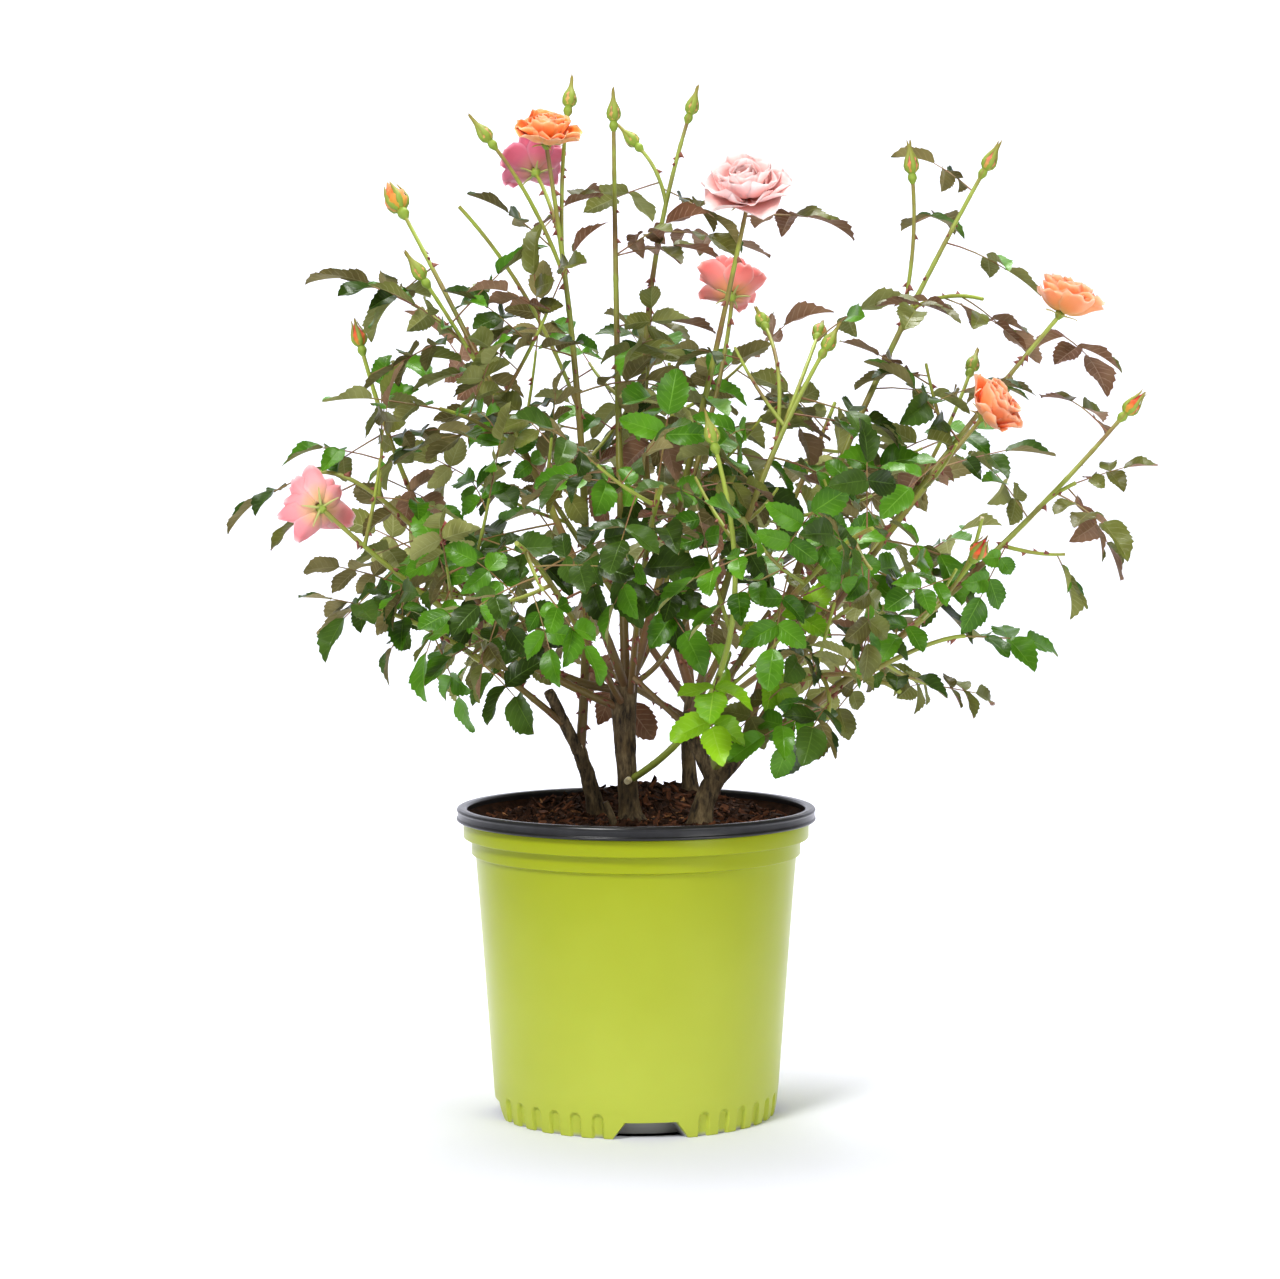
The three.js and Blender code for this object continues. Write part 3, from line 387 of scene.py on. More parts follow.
# Whether points lie in the crown, off every limb, bloom and bud, and not in another leaf
def isClear(points, limbReach, leafReach, farthest=1):
    return not any(underCrown(point) or crownShare(point) > farthest or point.y < crown["front"]
                   or limbGuard.touches(point, limbReach) or endGuard.touches(point)
                   or leafGuard.touches(point, leafReach) for point in points)


def shootCourse(parent, shoot):
    at, along, _, _ = parent.frameAt(shoot["at"])
    tip = Vector(shoot["tip"])
    reach = (tip - at).length
    return Course(at, (at + along * reach * shoots["bend"]).lerp(tip, shoots["bend"]), tip)


def twigCourse(parent, place, turn, length):
    at, along, side, _ = parent.frameAt(place)
    out = Quaternion(along, math.radians(turn)) @ side
    bend = at + out * length * twig["bendOut"] + along * length * twig["bendAlong"]
    tip = bend + out * length * twig["endOut"] + along * length * twig["endAlong"]
    return Course(at, bend, tip + up * length * twig["endRise"])


# Mesh making

# Collects many small shapes as one mesh, with a map along and round each and an age from 0 to 1
class Heap:
    def __init__(self):
        self.points, self.faces, self.maps, self.ages, self.runs, self.slots = [], [], [], [], [], []
        self.count = 0

    def add(self, points, faces, maps, age=0.0, runs=(0, 0, 1), slots=None):
        offset = self.count
        self.points.append(points)
        self.maps.append(maps)
        self.ages.append(np.broadcast_to(np.asarray(age, float), (len(points),)))
        self.runs.append(np.broadcast_to(np.asarray(runs, float), (len(points), 3)))
        self.faces.extend([tuple(corner + offset for corner in face) for face in faces])
        self.slots.extend(slots if slots is not None else [0] * len(faces))
        self.count += len(points)


def addObject(name, data):
    made = bpy.data.objects.new(name, data)
    bpy.context.scene.collection.objects.link(made)
    return made


def addPiece(name, mesh):
    piece = addObject(name, mesh)
    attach(piece, "root")
    return piece


def newPiece(name, heap, materials, creaseAngle=50):
    mesh = bpy.data.meshes.new(name)
    points = np.concatenate(heap.points) * mm
    mesh.from_pydata(points.tolist(), [], heap.faces)
    for material in materials:
        mesh.materials.append(material)
    mesh.polygons.foreach_set("material_index", heap.slots)
    maps = np.concatenate(heap.maps)
    corners = np.empty(len(mesh.loops), np.int32)
    mesh.loops.foreach_get("vertex_index", corners)
    mesh.uv_layers.new(name="alongMap").data.foreach_set("uv", maps[corners].ravel())
    age = mesh.attributes.new("age", "FLOAT", "POINT")
    age.data.foreach_set("value", np.concatenate(heap.ages))
    runs = mesh.attributes.new("runs", "FLOAT_VECTOR", "POINT")
    runs.data.foreach_set("vector", np.concatenate(heap.runs).ravel())
    mesh.polygons.foreach_set("use_smooth", [True] * len(mesh.polygons))
    mesh.set_sharp_from_angle(angle=math.radians(creaseAngle))
    mesh.update()
    return addPiece(name, mesh)


# Faces of rings of points, each joined to the next: a tube with end caps, or a loop
def ringFaces(rings, sides, loop=False):
    count, faces = rings * sides, []
    for row in range(rings if loop else rings - 1):
        for k in range(sides):
            a, b = row * sides + k, row * sides + (k + 1) % sides
            faces.append((a, b, (b + sides) % count, (a + sides) % count))
    if not loop:
        faces += [tuple(range(sides))[::-1], tuple(range(count - sides, count))]
    return faces


# Round limb with closed ends along a course. relief(point, reach) raises its skin, ages run from foot
# to tip
def addLimb(heap, course, radiusAt, sides, step, relief=None, ages=(0, 1), start=0, stop=1):
    length = course.length() * (stop - start)
    rows = max(int(length / step), 2)
    side = course.along(start).cross(up).normalized()
    points, maps, age, runs = [], [], [], []
    for i in range(rows + 1):
        share = i / rows
        t = between(start, stop, share)
        at, along = course.point(t), course.along(t)
        side = (side - along * side.dot(along)).normalized()
        other = side.cross(along)
        for k in range(sides):
            angle = 2 * math.pi * k / sides
            out = side * math.cos(angle) + other * math.sin(angle)
            radius = radiusAt(share)
            if relief:
                radius += relief(at + out * radius, length * share)
            points.append(at + out * radius)
            maps.append((k / sides, length * share * mm * 10))
            age.append(between(*ages, share))
            runs.append(along)
    faces = [face[::-1] for face in ringFaces(rows + 1, sides)]
    heap.add(np.array(points), faces, np.array(maps), np.array(age), np.array(runs))


gridFaces = {}


# Faces of a thin closed sheet: its upper side, and an underside that shares its edge
def sheetFaces(rows, columns):
    if (rows, columns) in gridFaces:
        return gridFaces[rows, columns]
    inner = {}
    for i in range(1, rows - 1):
        for k in range(1, columns - 1):
            inner[i, k] = rows * columns + len(inner)
    upper, lower = [], []
    for i in range(rows - 1):
        for k in range(columns - 1):
            corners = [(i, k), (i, k + 1), (i + 1, k + 1), (i + 1, k)]
            upper.append(tuple(a * columns + b for a, b in corners))
            back = (corners[0], corners[3], corners[2], corners[1])
            lower.append(tuple(inner.get(c, c[0] * columns + c[1]) for c in back))
    gridFaces[rows, columns] = (upper, lower, list(inner))
    return gridFaces[rows, columns]


# A grid of points (rows, columns, 3) made a thin closed sheet, its upper side along +normal
def sheetOf(grid, thickness):
    rows, columns, _ = grid.shape
    upper, lower, inner = sheetFaces(rows, columns)
    normals = np.cross(np.gradient(grid, axis=1), np.gradient(grid, axis=0))
    normals /= np.maximum(np.linalg.norm(normals, axis=2, keepdims=True), 1e-9)
    under = np.array([grid[i, k] - normals[i, k] * thickness for i, k in inner])
    u, v = np.meshgrid(np.linspace(0, 1, columns), np.linspace(0, 1, rows))
    flat = np.stack([u.ravel(), v.ravel()], axis=1)
    maps = np.concatenate([flat, np.array([flat[i * columns + k] for i, k in inner])])
    return np.concatenate([grid.reshape(-1, 3), under]), (upper, lower), maps


# Leaves

leafSizes = dict(
    stalk=68,
    youngStalk=0.5,
    stalkRadius=(0.95, 0.6),
    pairs=((0.38, 29, 20, 82), (0.72, 37, 25, 74)),  # place on the stalk, length, width, angle
    endBlade=(43, 29),
    rows=17,
    columns=3,
    toothDepth=0.05,
    toothLean=0.03,
    fold=0.42,
    droop=(0.05, 0.55),
    waves=0.065,
    thickness=0.45,
    templates=14,
    reaches=(2.5, 5.5),  # room to limbs and to other leaves, for blades and for their stalk
    stalkReaches=(0.5, 2.5),
    sag=0.12,
    fewest=3,
)
leafPieces = {tone: Heap() for tone in ("dark", "mid", "young", "bronze")}
stalkHeap = Heap()


# One leaflet of unit length and width, along +Y with its face up: toothed, folded and drooping
def leafletTemplate(draw):
    rows, columns = leafSizes["rows"], leafSizes["columns"]
    v = np.linspace(0, 1, rows)
    width = (v ** 0.56) * ((1 - v) ** draw(0.62, 0.95))
    width = width / width.max() * 0.5
    width[0], width[-1] = 0.03, 0.012
    pointed = np.where(np.arange(rows) % 2 == 1, 1, -1)
    droop, fold = draw(*leafSizes["droop"]), leafSizes["fold"] * draw(0.5, 1.3)
    twist, phase = draw(-0.25, 0.25), draw(0, 6)
    grid = np.zeros((rows, columns, 3))
    for k, u in enumerate(np.linspace(-1, 1, columns)):
        grid[:, k, 0] = u * width * (1 + leafSizes["toothDepth"] * pointed)
        grid[:, k, 1] = v + leafSizes["toothLean"] * (pointed + 1) * abs(u) * np.sin(v * math.pi)
        wave = leafSizes["waves"] * np.sin(v * 9 + phase + u) * abs(u)
        grid[:, k, 2] = fold * abs(u) * width - droop * v ** 2 + wave + twist * u * width * v
    return grid


leafDraw = dice(505)
leafletGrids = [leafletTemplate(leafDraw) for _ in range(leafSizes["templates"])]


def bladeBalls(root, along, across, length, width):
    places = ((0.2, 0), (0.5, 0), (0.8, 0), (0.98, 0), (0.45, 0.8), (0.45, -0.8))
    return [root + along * (reach * length) + across * (side * width / 2) for reach, side in places]


def addLeaflet(heap, root, along, face, length, width):
    across = along.cross(face).normalized()
    grid = leafletGrids[int(leafDraw(0, len(leafletGrids)))]
    axes = np.array([across * width, along * length, face * length * 0.62])
    points, (upper, lower), maps = sheetOf(grid @ axes + np.array(root), leafSizes["thickness"])
    tint = len(heap.points) * 0.618 % 1
    heap.add(points, upper + lower, maps, tint, slots=[0] * len(upper) + [1] * len(lower))


# A compound leaf with five leaflets, each left out where it would touch what has grown
def leafAt(tone, at, direction, roll, size, last=False):
    along = direction.normalized()
    high = heightShare(at.z)
    fromAxis = Vector((at.x - crown["middle"][0], at.y - crown["middle"][1], 0)).normalized()
    facing = up + fromAxis * (between(*posture["out"], high) * leafDraw(0.4, 1.3))
    longer, slim = 1 + posture["longer"] * high, 1 - posture["slimmer"] * high
    face = Quaternion(along, roll) @ (facing - along * along.dot(facing)).normalized()
    stiff = endLeaf["stiff"] if last else 1
    farthest = endLeaf["farthest"] if last else 1
    droop = posture["droop"] * (1 - high) * stiff
    stalk = leafSizes["stalk"] * size * (leafSizes["youngStalk"] if tone == "young" else 1)
    sag = leafSizes["sag"] * leafDraw(0.3, 1.6) * stiff

    def onStalk(share):
        return at + along * (share * stalk) - up * (sag * stalk * share ** 2)

    def blade(share, turn, length, width):
        out = Quaternion(face, math.radians(turn)) @ along
        out = Quaternion(along, leafDraw(-0.25, 0.25)) @ out
        fall = sag * 1.6 * share + leafDraw(0, 0.15) + droop * leafDraw(0.4, 1.2)
        out = (out - up * fall).normalized()
        tilted = (face - out * face.dot(out)).normalized()
        tilted = Quaternion(out, leafDraw(-0.3, 0.3)) @ tilted
        length *= size * longer * leafDraw(0.86, 1.1)
        return onStalk(share), out, tilted, length, width * size * slim * leafDraw(0.9, 1.06)

    # The points that a leaflet takes up, or none where it has no room
    def room(root, out, tilted, length, width):
        points = bladeBalls(root, out, out.cross(tilted).normalized(), length, width)
        if any(hidesEnd(point) or not last and inSkyGap(point) for point in points[1:]):
            return []
        return points if isClear(points, *leafSizes["reaches"], farthest) else []

    end = blade(1, leafDraw(-8, 8), *leafSizes["endBlade"])
    taken = room(*end)
    if not taken or not isClear([onStalk(s) for s in (0.45, 0.75)], *leafSizes["stalkReaches"]):
        return False
    blades = [end]
    pairs = leafSizes["pairs"]
    if leafDraw(0, 1) < posture["bareFoot"] * high or tone == "young":
        pairs = pairs[1:]
    for place, length, width, angle in pairs:
        for side in (1, -1):
            made = blade(place, side * (angle + leafDraw(-7, 7)), length, width)
            points = room(*made)
            if points:
                blades.append(made)
                taken += points
    if len(blades) < leafSizes["fewest"] and not last:
        return False
    for point in taken:
        leafGuard.add(point)
    for made in blades:
        addLeaflet(leafPieces[tone], *made)
    foot, tip = leafSizes["stalkRadius"]
    addLimb(stalkHeap, courseThrough(at, onStalk(0.5), onStalk(1)), taper(foot * size, tip * size),
            sides=4, step=12, ages=(0.9, 1))
    return True


# Leaf in the angle of a stem, turned round the stem until it finds room
def leafOn(tone, course, place, turn, lift, roll, size):
    for change in growth["tries"]:
        at, along, side, _ = course.frameAt(place)
        out = Quaternion(along, math.radians(turn + change)) @ side
        high = heightShare(at.z)
        lifted, follow = between(*posture["lift"], high), between(*posture["along"], high)
        direction = out * growth["outShare"] + up * (lift + lifted) + along * follow
        if leafAt(tone, at, direction, roll, size):
            return


def lastLeaf(tone, course, roll, size):
    at, along, _, _ = course.frameAt(1)
    leafAt(tone, at - along * endLeaf["sunk"], along - up * endLeaf["droop"], roll, size, True)


# Blooms: whorls of petals from the outside in. Each has its count, a petal's lean from the axis
# at its foot, middle and tip, its length, width and foot radius as shares of the bloom, its cup

bloomSizes = dict(
    whorls=((5, 88, 62, 92, 1.0, 1.0, 0.1, 0.24), (5, 82, 46, 66, 0.96, 0.92, 0.09, 0.24),
            (5, 72, 32, 44, 0.9, 0.78, 0.08, 0.3), (4, 58, 20, 26, 0.82, 0.66, 0.06, 0.4),
            (3, 44, 10, 14, 0.74, 0.54, 0.04, 0.5), (2, 26, 2, 6, 0.64, 0.42, 0.02, 0.6)),
    bigWhorls=3,
    bigGrid=(11, 9),
    smallGrid=(7, 7),
    turnPerWhorl=17,
    sunk=0.05,  # the first whorl's rise as a share of the bloom, then the rise per whorl and per layer
    whorlRise=1.1,
    layerRise=0.8,
    footWidth=0.22,
    widest=0.72,
    narrowFrom=0.6,
    ruffle=0.04,
    ruffles=7,
    notch=0.04,
    notchWidth=0.22,
    rounding=0.24,
    thickness=0.45,
)
stamens = dict(count=26, lean=26, foot=0.1, length=(0.3, 0.4), thread=0.3, pollenSac=0.9, tipFrom=0.85,
               step=0.06)
petalHeaps = {}
stamenHeap = Heap()


# A petal that leans from the axis by three angles in turn. cup lifts its sides, narrow draws in its
# end, and its edge is rounded, notched and ruffled
def petalGrid(draw, size, leans, length, width, footRadius, cup, narrow):
    b, (rows, columns) = bloomSizes, size
    grid = np.zeros((rows, columns, 3))
    phase, ruffle = draw(0, 6), b["ruffle"] * length * draw(0.6, 1.5)
    for k, u in enumerate(np.linspace(-1, 1, columns)):
        shorten = b["rounding"] * abs(u) ** 2.6 + b["notch"] * math.exp(-(u / b["notchWidth"]) ** 2)
        x, z = footRadius, 0.0
        step = length * (1 - shorten) / (rows - 1)
        for i in range(rows):
            v = i / (rows - 1)
            angle = math.radians(np.interp(v, (0, 0.5, 1), leans))
            swell = math.sin(min(v / b["widest"], 1) * math.pi / 2)
            half = width / 2 * between(b["footWidth"], 1, swell)
            half *= 1 - narrow * max((v - b["narrowFrom"]) / (1 - b["narrowFrom"]), 0) ** 1.6
            wave = ruffle * math.sin(b["ruffles"] * u + phase) * v ** 3
            lift = cup * width * u * u * (0.35 + 0.65 * v) + wave
            grid[i, k] = (x - math.cos(angle) * lift, u * half, z + math.sin(angle) * lift)
            x, z = x + math.sin(angle) * step, z + math.cos(angle) * step
    return grid


def turnTo(direction, turn):
    spin = Quaternion(up, math.radians(turn))
    return (up.rotation_difference(direction) @ spin).to_matrix()


def placed(points, matrix, at):
    return points @ np.array(matrix).T + np.array(at)


def addBloom(look, at, face, size, seed):
    colour, openness, broad, uneven = look
    b, draw = bloomSizes, dice(seed)
    heap = petalHeaps.setdefault(colour, Heap())
    for n, (count, foot, middle, tip, length, width, footRadius, cup) in enumerate(b["whorls"]):
        big = n < b["bigWhorls"]
        for k in range(count):
            turn = 360 * (k + 0.5 * (n % 2)) / count + draw(-9, 9) + n * b["turnPerWhorl"]
            shift = draw(-10, 10) * uneven
            leans = (foot + shift * 0.2, middle * openness + shift * 0.8,
                     tip * openness + shift * 1.2 + draw(-10, 14))
            grid = petalGrid(draw, b["bigGrid" if big else "smallGrid"], leans,
                             length * size * draw(0.96 - 0.1 * uneven, 1.04),
                             width * size * broad * draw(0.9, 1.1), footRadius * size, cup,
                             draw(0.12, 0.2 + 0.16 * uneven) if big else 0.2)
            points, (upper, lower), maps = sheetOf(grid[:, ::-1], b["thickness"])
            rise = face * (size * b["sunk"] + n * b["whorlRise"] + k % 2 * b["layerRise"])
            heap.add(placed(points, turnTo(face, turn), at + rise), upper + lower, maps, age=n / 5,
                     slots=[0] * len(upper) + [1] * len(lower))
    for _ in range(stamens["count"]):
        lean, turn = draw(0, stamens["lean"]), draw(0, 360)
        out = Quaternion(turnTo(face, turn) @ Vector((0, 1, 0)), math.radians(lean)) @ face
        foot = at + face * size * stamens["foot"]
        tip = foot + out * size * draw(*stamens["length"])
        addLimb(stamenHeap, straight(foot, tip), stamenRadius, sides=5, step=size * stamens["step"])


def stamenRadius(share):
    return stamens["thread"] if share < stamens["tipFrom"] else stamens["pollenSac"]


# Buds: a hip, closed petals that wind to a point, and five sepals

budSizes = dict(
    hipProfile=((0, 1.4), (0.16, 2.2), (0.46, 3.5), (0.74, 3.1), (1, 1.9)),
    hipLength=6.6,
    hipSunk=2,
    neck=0.84,
    petalProfile=((0, 2.0), (0.08, 3.9), (0.28, 5.5), (0.55, 4.4), (0.8, 1.9), (1, 0.3)),
    rows=13,
    sides=14,
    windings=1.1,
    ridge=0.12,
    sepalWidth=6.4,
    sepalGrid=(9, 5),
    sepalGap=0.5,
)
budForms = dict(  # petals' length and fullness, sepals' length and width, how far their tips stand off
    opening=(21, 1.2, 19, 0.75, 2.2),
    orange=(18, 1, 22, 0.66, 2.4),
    pink=(18, 0.95, 25, 0.8, 0.8),
    green=(17, 0.9, 26, 0.95, 0.1),
)
budPetals = {form: Heap() for form in budForms}
sepalHeap = Heap()


def addHip(at, along, size, length=budSizes["hipLength"]):
    shares, radii = zip(*budSizes["hipProfile"])
    addLimb(sepalHeap, straight(at - along * budSizes["hipSunk"], at + along * (length * size)),
            lambda share: float(np.interp(share, shares, radii)) * size, sides=10, step=0.9,
            ages=(0.5, 0.55))


# The side view of a sepal that leans by three angles in turn
def leaning(leans, foot, length, steps=11):
    shares = np.linspace(0, 1, steps + 1)
    angles = np.radians(np.interp(shares, (0, 0.5, 1), leans))
    x = foot + np.concatenate([[0], np.cumsum(np.sin(angles[:-1]))]) * length / steps
    z = np.concatenate([[0], np.cumsum(np.cos(angles[:-1]))]) * length / steps
    return lambda v, spread: (np.interp(v, shares, x), np.interp(v, shares, z))


# Five sepals, each a pointed sheet along the line that path(share, spread) gives as (out, up)
def addSepals(at, along, size, path, draw, width=1.0, ages=(0.5, 1)):
    rows, columns = budSizes["sepalGrid"]
    for k in range(5):
        reach, spread = draw(0.86, 1), draw(-1, 1)
        line = [path(reach * i / (rows - 1), spread) for i in range(rows)]
        grid = np.zeros((rows, columns, 3))
        for i, (x, z) in enumerate(line):
            v = i / (rows - 1)
            ahead, behind = line[min(i + 1, rows - 1)], line[max(i - 1, 0)]
            run = Vector((ahead[0] - behind[0], ahead[1] - behind[1])).normalized()
            half = budSizes["sepalWidth"] * width * size / 2 * (1 - v) ** 0.9 * (0.75 + 0.7 * v) + 0.22
            for c, u in enumerate(np.linspace(1, -1, columns)):
                lift = 0.45 * half * u * u
                grid[i, c] = (x - run.y * lift, u * half, z + run.x * lift)
        points, (upper, lower), maps = sheetOf(grid, 0.5)
        matrix = turnTo(along, 72 * k + draw(-6, 6))
        sepalHeap.add(placed(points, matrix, at), upper + lower, maps, between(*ages, maps[:, 1]))


def addBud(colour, at, along, size, seed):
    draw = shuffled(seed * 7 + 3)
    petalLength, full, sepalLength, sepalWidth, spread = budForms[colour]
    petalLength, sepalLength, spread = petalLength * size, sepalLength * size, spread * size
    addHip(at, along, size)
    neck = at + along * budSizes["hipLength"] * size * budSizes["neck"]
    rows, sides = budSizes["rows"], budSizes["sides"]
    shares, radii = zip(*[(share, radius * full) for share, radius in budSizes["petalProfile"]])
    points, maps = [], []
    for i in range(rows):
        share = i / (rows - 1)
        radius = np.interp(share, shares, radii) * size
        for k in range(sides):
            angle = 2 * math.pi * k / sides
            wind = math.cos(3 * (angle - budSizes["windings"] * 2 * math.pi * share))
            swell = radius * (1 + budSizes["ridge"] * wind * math.sin(math.pi * share))
            points.append((swell * math.cos(angle), swell * math.sin(angle), share * petalLength))
            maps.append((k / sides, share))
    matrix = turnTo(along, draw(0, 360))
    budPetals[colour].add(placed(np.array(points), matrix, neck), ringFaces(rows, sides), np.array(maps))

    # Sepals lie on the petals, then their thin ends stand off by the bud's spread
    def hugging(v, lean):
        z = v * sepalLength
        radius = np.interp(z / petalLength, shares, radii) * size
        return radius + budSizes["sepalGap"] + (spread + lean * 0.8 * size) * v ** 3, z

    addSepals(neck, along, size, hugging, draw, sepalWidth)


# Wood

barkRelief = dict(ridge=0.55, ridgeSpacing=4.2, stretch=4.5, contrast=2.4, grain=0.16, grainSize=1.3,
                  nodeSwell=0.2, nodeLength=1.6, ripple=0.12, rippleSize=6)
trunkHeap, boughHeap, stemHeap = Heap(), Heap(), Heap()


# Fissured old bark: ridges run along the limb and break up
def oldBark(point, reach):
    spacing = barkRelief["ridgeSpacing"]
    place = Vector((point.x / spacing, point.y / spacing, point.z / spacing / barkRelief["stretch"]))
    ridges = 1 - abs(noise.noise(place)) * barkRelief["contrast"]
    return barkRelief["ridge"] * ridges + barkRelief["grain"] * noise.noise(point / barkRelief["grainSize"])


# Green wood: smooth, with a swelling where each leaf stands
def greenBark(spacing, height):
    def relief(point, reach):
        offset = (reach + spacing / 2) % spacing - spacing / 2
        swell = barkRelief["nodeSwell"] * height * math.exp(-(offset / barkRelief["nodeLength"]) ** 2)
        return swell + barkRelief["ripple"] * noise.noise(point / barkRelief["rippleSize"])

    return relief


# What the ends of canes and shoots carry: colours for the blooms and buds, the leaves' tones
bloomLooks = dict(  # colour, openness, how broad the petals are, how uneven, and how much larger
    left_low=("salmon", 0.86, 0.66, 2.6, 1.25),
    left_inner=("coral", 0.7, 1, 0.6, 1.15),
    tall_orange=("orange", 0.92, 1, 1.6, 1.14),
    tall_orange_0=("mauve", 0.96, 0.8, 1.6, 1.35),
    pale=("pale", 1.02, 1.02, 1.4, 1.13),
    coral=("coral", 0.84, 0.76, 1.6, 1.22),
    right_orange=("peach", 0.8, 0.9, 1.7, 1.36),
    right_mid=("peach", 0.66, 0.9, 1.6, 1.34),
)
budColours = dict(tall_left="opening", left_high="orange", tall_right="pink", right_low="orange",
                  mid_right_0="pink", right_low_0="orange", tall_right_0="pink")
tonesByHeight = (  # from this height up, the share of each tone
    (600, (("dark", 0.3), ("mid", 0.25), ("bronze", 0.45))),
    (470, (("dark", 0.44), ("mid", 0.32), ("bronze", 0.24))),
    (0, (("mid", 0.54), ("dark", 0.4), ("bronze", 0.06))),
)
# This year's cane, whose low leaves are yellow-green
freshShoot = dict(cane="front_green", top=395, bareBelow=372, age=1.2)
bloomFoot = dict(hipBack=2.5, hipBend=0.4, hipSize=1.2, hipLength=0.16, sepalLeans=(76, 86, 118),
                 sepalRing=2, sepalLength=0.44, sepalBack=0.03, sepalScale=95, sepalAges=(0.3, 0))
budScale = 1.1
# The room that blooms and buds keep free: balls round them, and, but for one bloom that leaves may
# hide, the view of them from in front
guards = dict(bloomMiddle=0.4, bloomShown=0.25, bloomReach=1.1, hidden="left_inner", budMiddle=13,
              budReach=16, budBalls=(7, 14, 22), budBall=5.5)


def ageAt(cane, share):
    return freshShoot["age"] if cane["name"] == freshShoot["cane"] else 0.9 * share


def radiusOn(cane, share):
    return between(cane["foot"], growth["tipRadius"], share)


def toneOf(cane, roll, height):
    if cane == freshShoot["cane"] and height < freshShoot["top"]:
        return "young"
    total = 0.0
    for tone, share in next(tones for least, tones in tonesByHeight if height >= least):
        total += share
        if roll <= total:
            break
    return tone


def growEnd(name, tone, course, end, seed):
    at, along, _, _ = course.frameAt(1)
    if end["kind"] == "bloom":
        *look, larger = bloomLooks[name]
        f, face, size = bloomFoot, Vector(end["face"]).normalized(), end["size"] * larger
        addHip(at - along * f["hipBack"], (along * f["hipBend"] + face).normalized(), f["hipSize"],
               size * f["hipLength"])
        sepals = leaning(f["sepalLeans"], f["sepalRing"], size * f["sepalLength"])
        addSepals(at - face * size * f["sepalBack"], face, size / f["sepalScale"], sepals, dice(seed),
                  ages=f["sepalAges"])
        addBloom(look, at, face, size, seed)
    elif end["kind"] == "bud":
        addBud(budColours.get(name, "green"), at, along, end["size"] * budScale, seed)
    else:
        lastLeaf(tone, course, 0, end["size"])


def guardEnd(name, course, end):
    at, along, _, _ = course.frameAt(1)
    size = end["size"]
    if end["kind"] == "bloom":
        face = Vector(end["face"]).normalized()
        size *= bloomLooks[name][-1]
        endGuard.add(at + face * size * guards["bloomMiddle"], size)
        if name != guards["hidden"]:
            x, z = seenAt(at + face * size * guards["bloomShown"])
            shownEnds.append((x, z, size * guards["bloomReach"], at.y + size * guards["bloomMiddle"]))
    if end["kind"] == "bud":
        middle = at + along * guards["budMiddle"] * size
        shownEnds.append((*seenAt(middle), guards["budReach"] * size, middle.y))
        for reach in guards["budBalls"]:
            endGuard.add(at + along * reach * size, guards["budBall"] * size)


# Side twig with its leaves, left out where it would touch another piece
def growTwig(cane, draw, course, place, turn, length, roll, size):
    path = twigCourse(course, place, turn, length)
    free = twig["clearFrom"]
    steps = math.ceil(path.length() * (1 - free) / twig["checkStep"])
    points = [path.point(free + (1 - free) * i / steps) for i in range(steps + 1)]
    if not isClear(points, *twig["reaches"]):
        return
    guardLimb(path, lambda share: twig["radius"])
    stemPaths.append((cane, path, twig["leafyFrom"]))
    addLimb(stemHeap, path, taper(twig["radius"], twig["tipRadius"]), sides=8, step=4,
            relief=greenBark(length * twig["internode"], 0.7), ages=(0.75, 0.95))
    height = path.tip.z
    for leafPlace, leafTurn in zip(twig["leafPlaces"], twig["leafTurns"]):
        tone = toneOf(cane, draw(0, 1), height)
        leafOn(tone, path, leafPlace, turn + leafTurn, twig["leafLift"], -roll, size)
    lastLeaf(toneOf(cane, draw(0, 1), height), path, roll, size)


def growShoot(cane, n, path, shoot, draw, toneDraw):
    name = cane["name"]
    stemPaths.append((name, path, shoots["leafyFrom"]))
    addLimb(stemHeap, path, taper(twig["radius"], shoots["tipRadius"]), sides=8, step=3.6,
            relief=greenBark(growth["internode"], 0.8), ages=(0.75, 0.97))
    tone = toneOf(name, toneDraw(0, 1), path.tip.z)
    growEnd(f"{name}_{n}", tone, path, shoot["end"], cane["seed"] + shoots["firstSeed"] + n)
    turn, roll = draw(0, 360), draw(-growth["rollSpread"], growth["rollSpread"])
    for k, place in enumerate(shoots["places"][:shoot["leaves"]]):
        leafOn(tone, path, place, turn + shoots["turn"] * k, shoots["lift"], roll, shoots["size"])


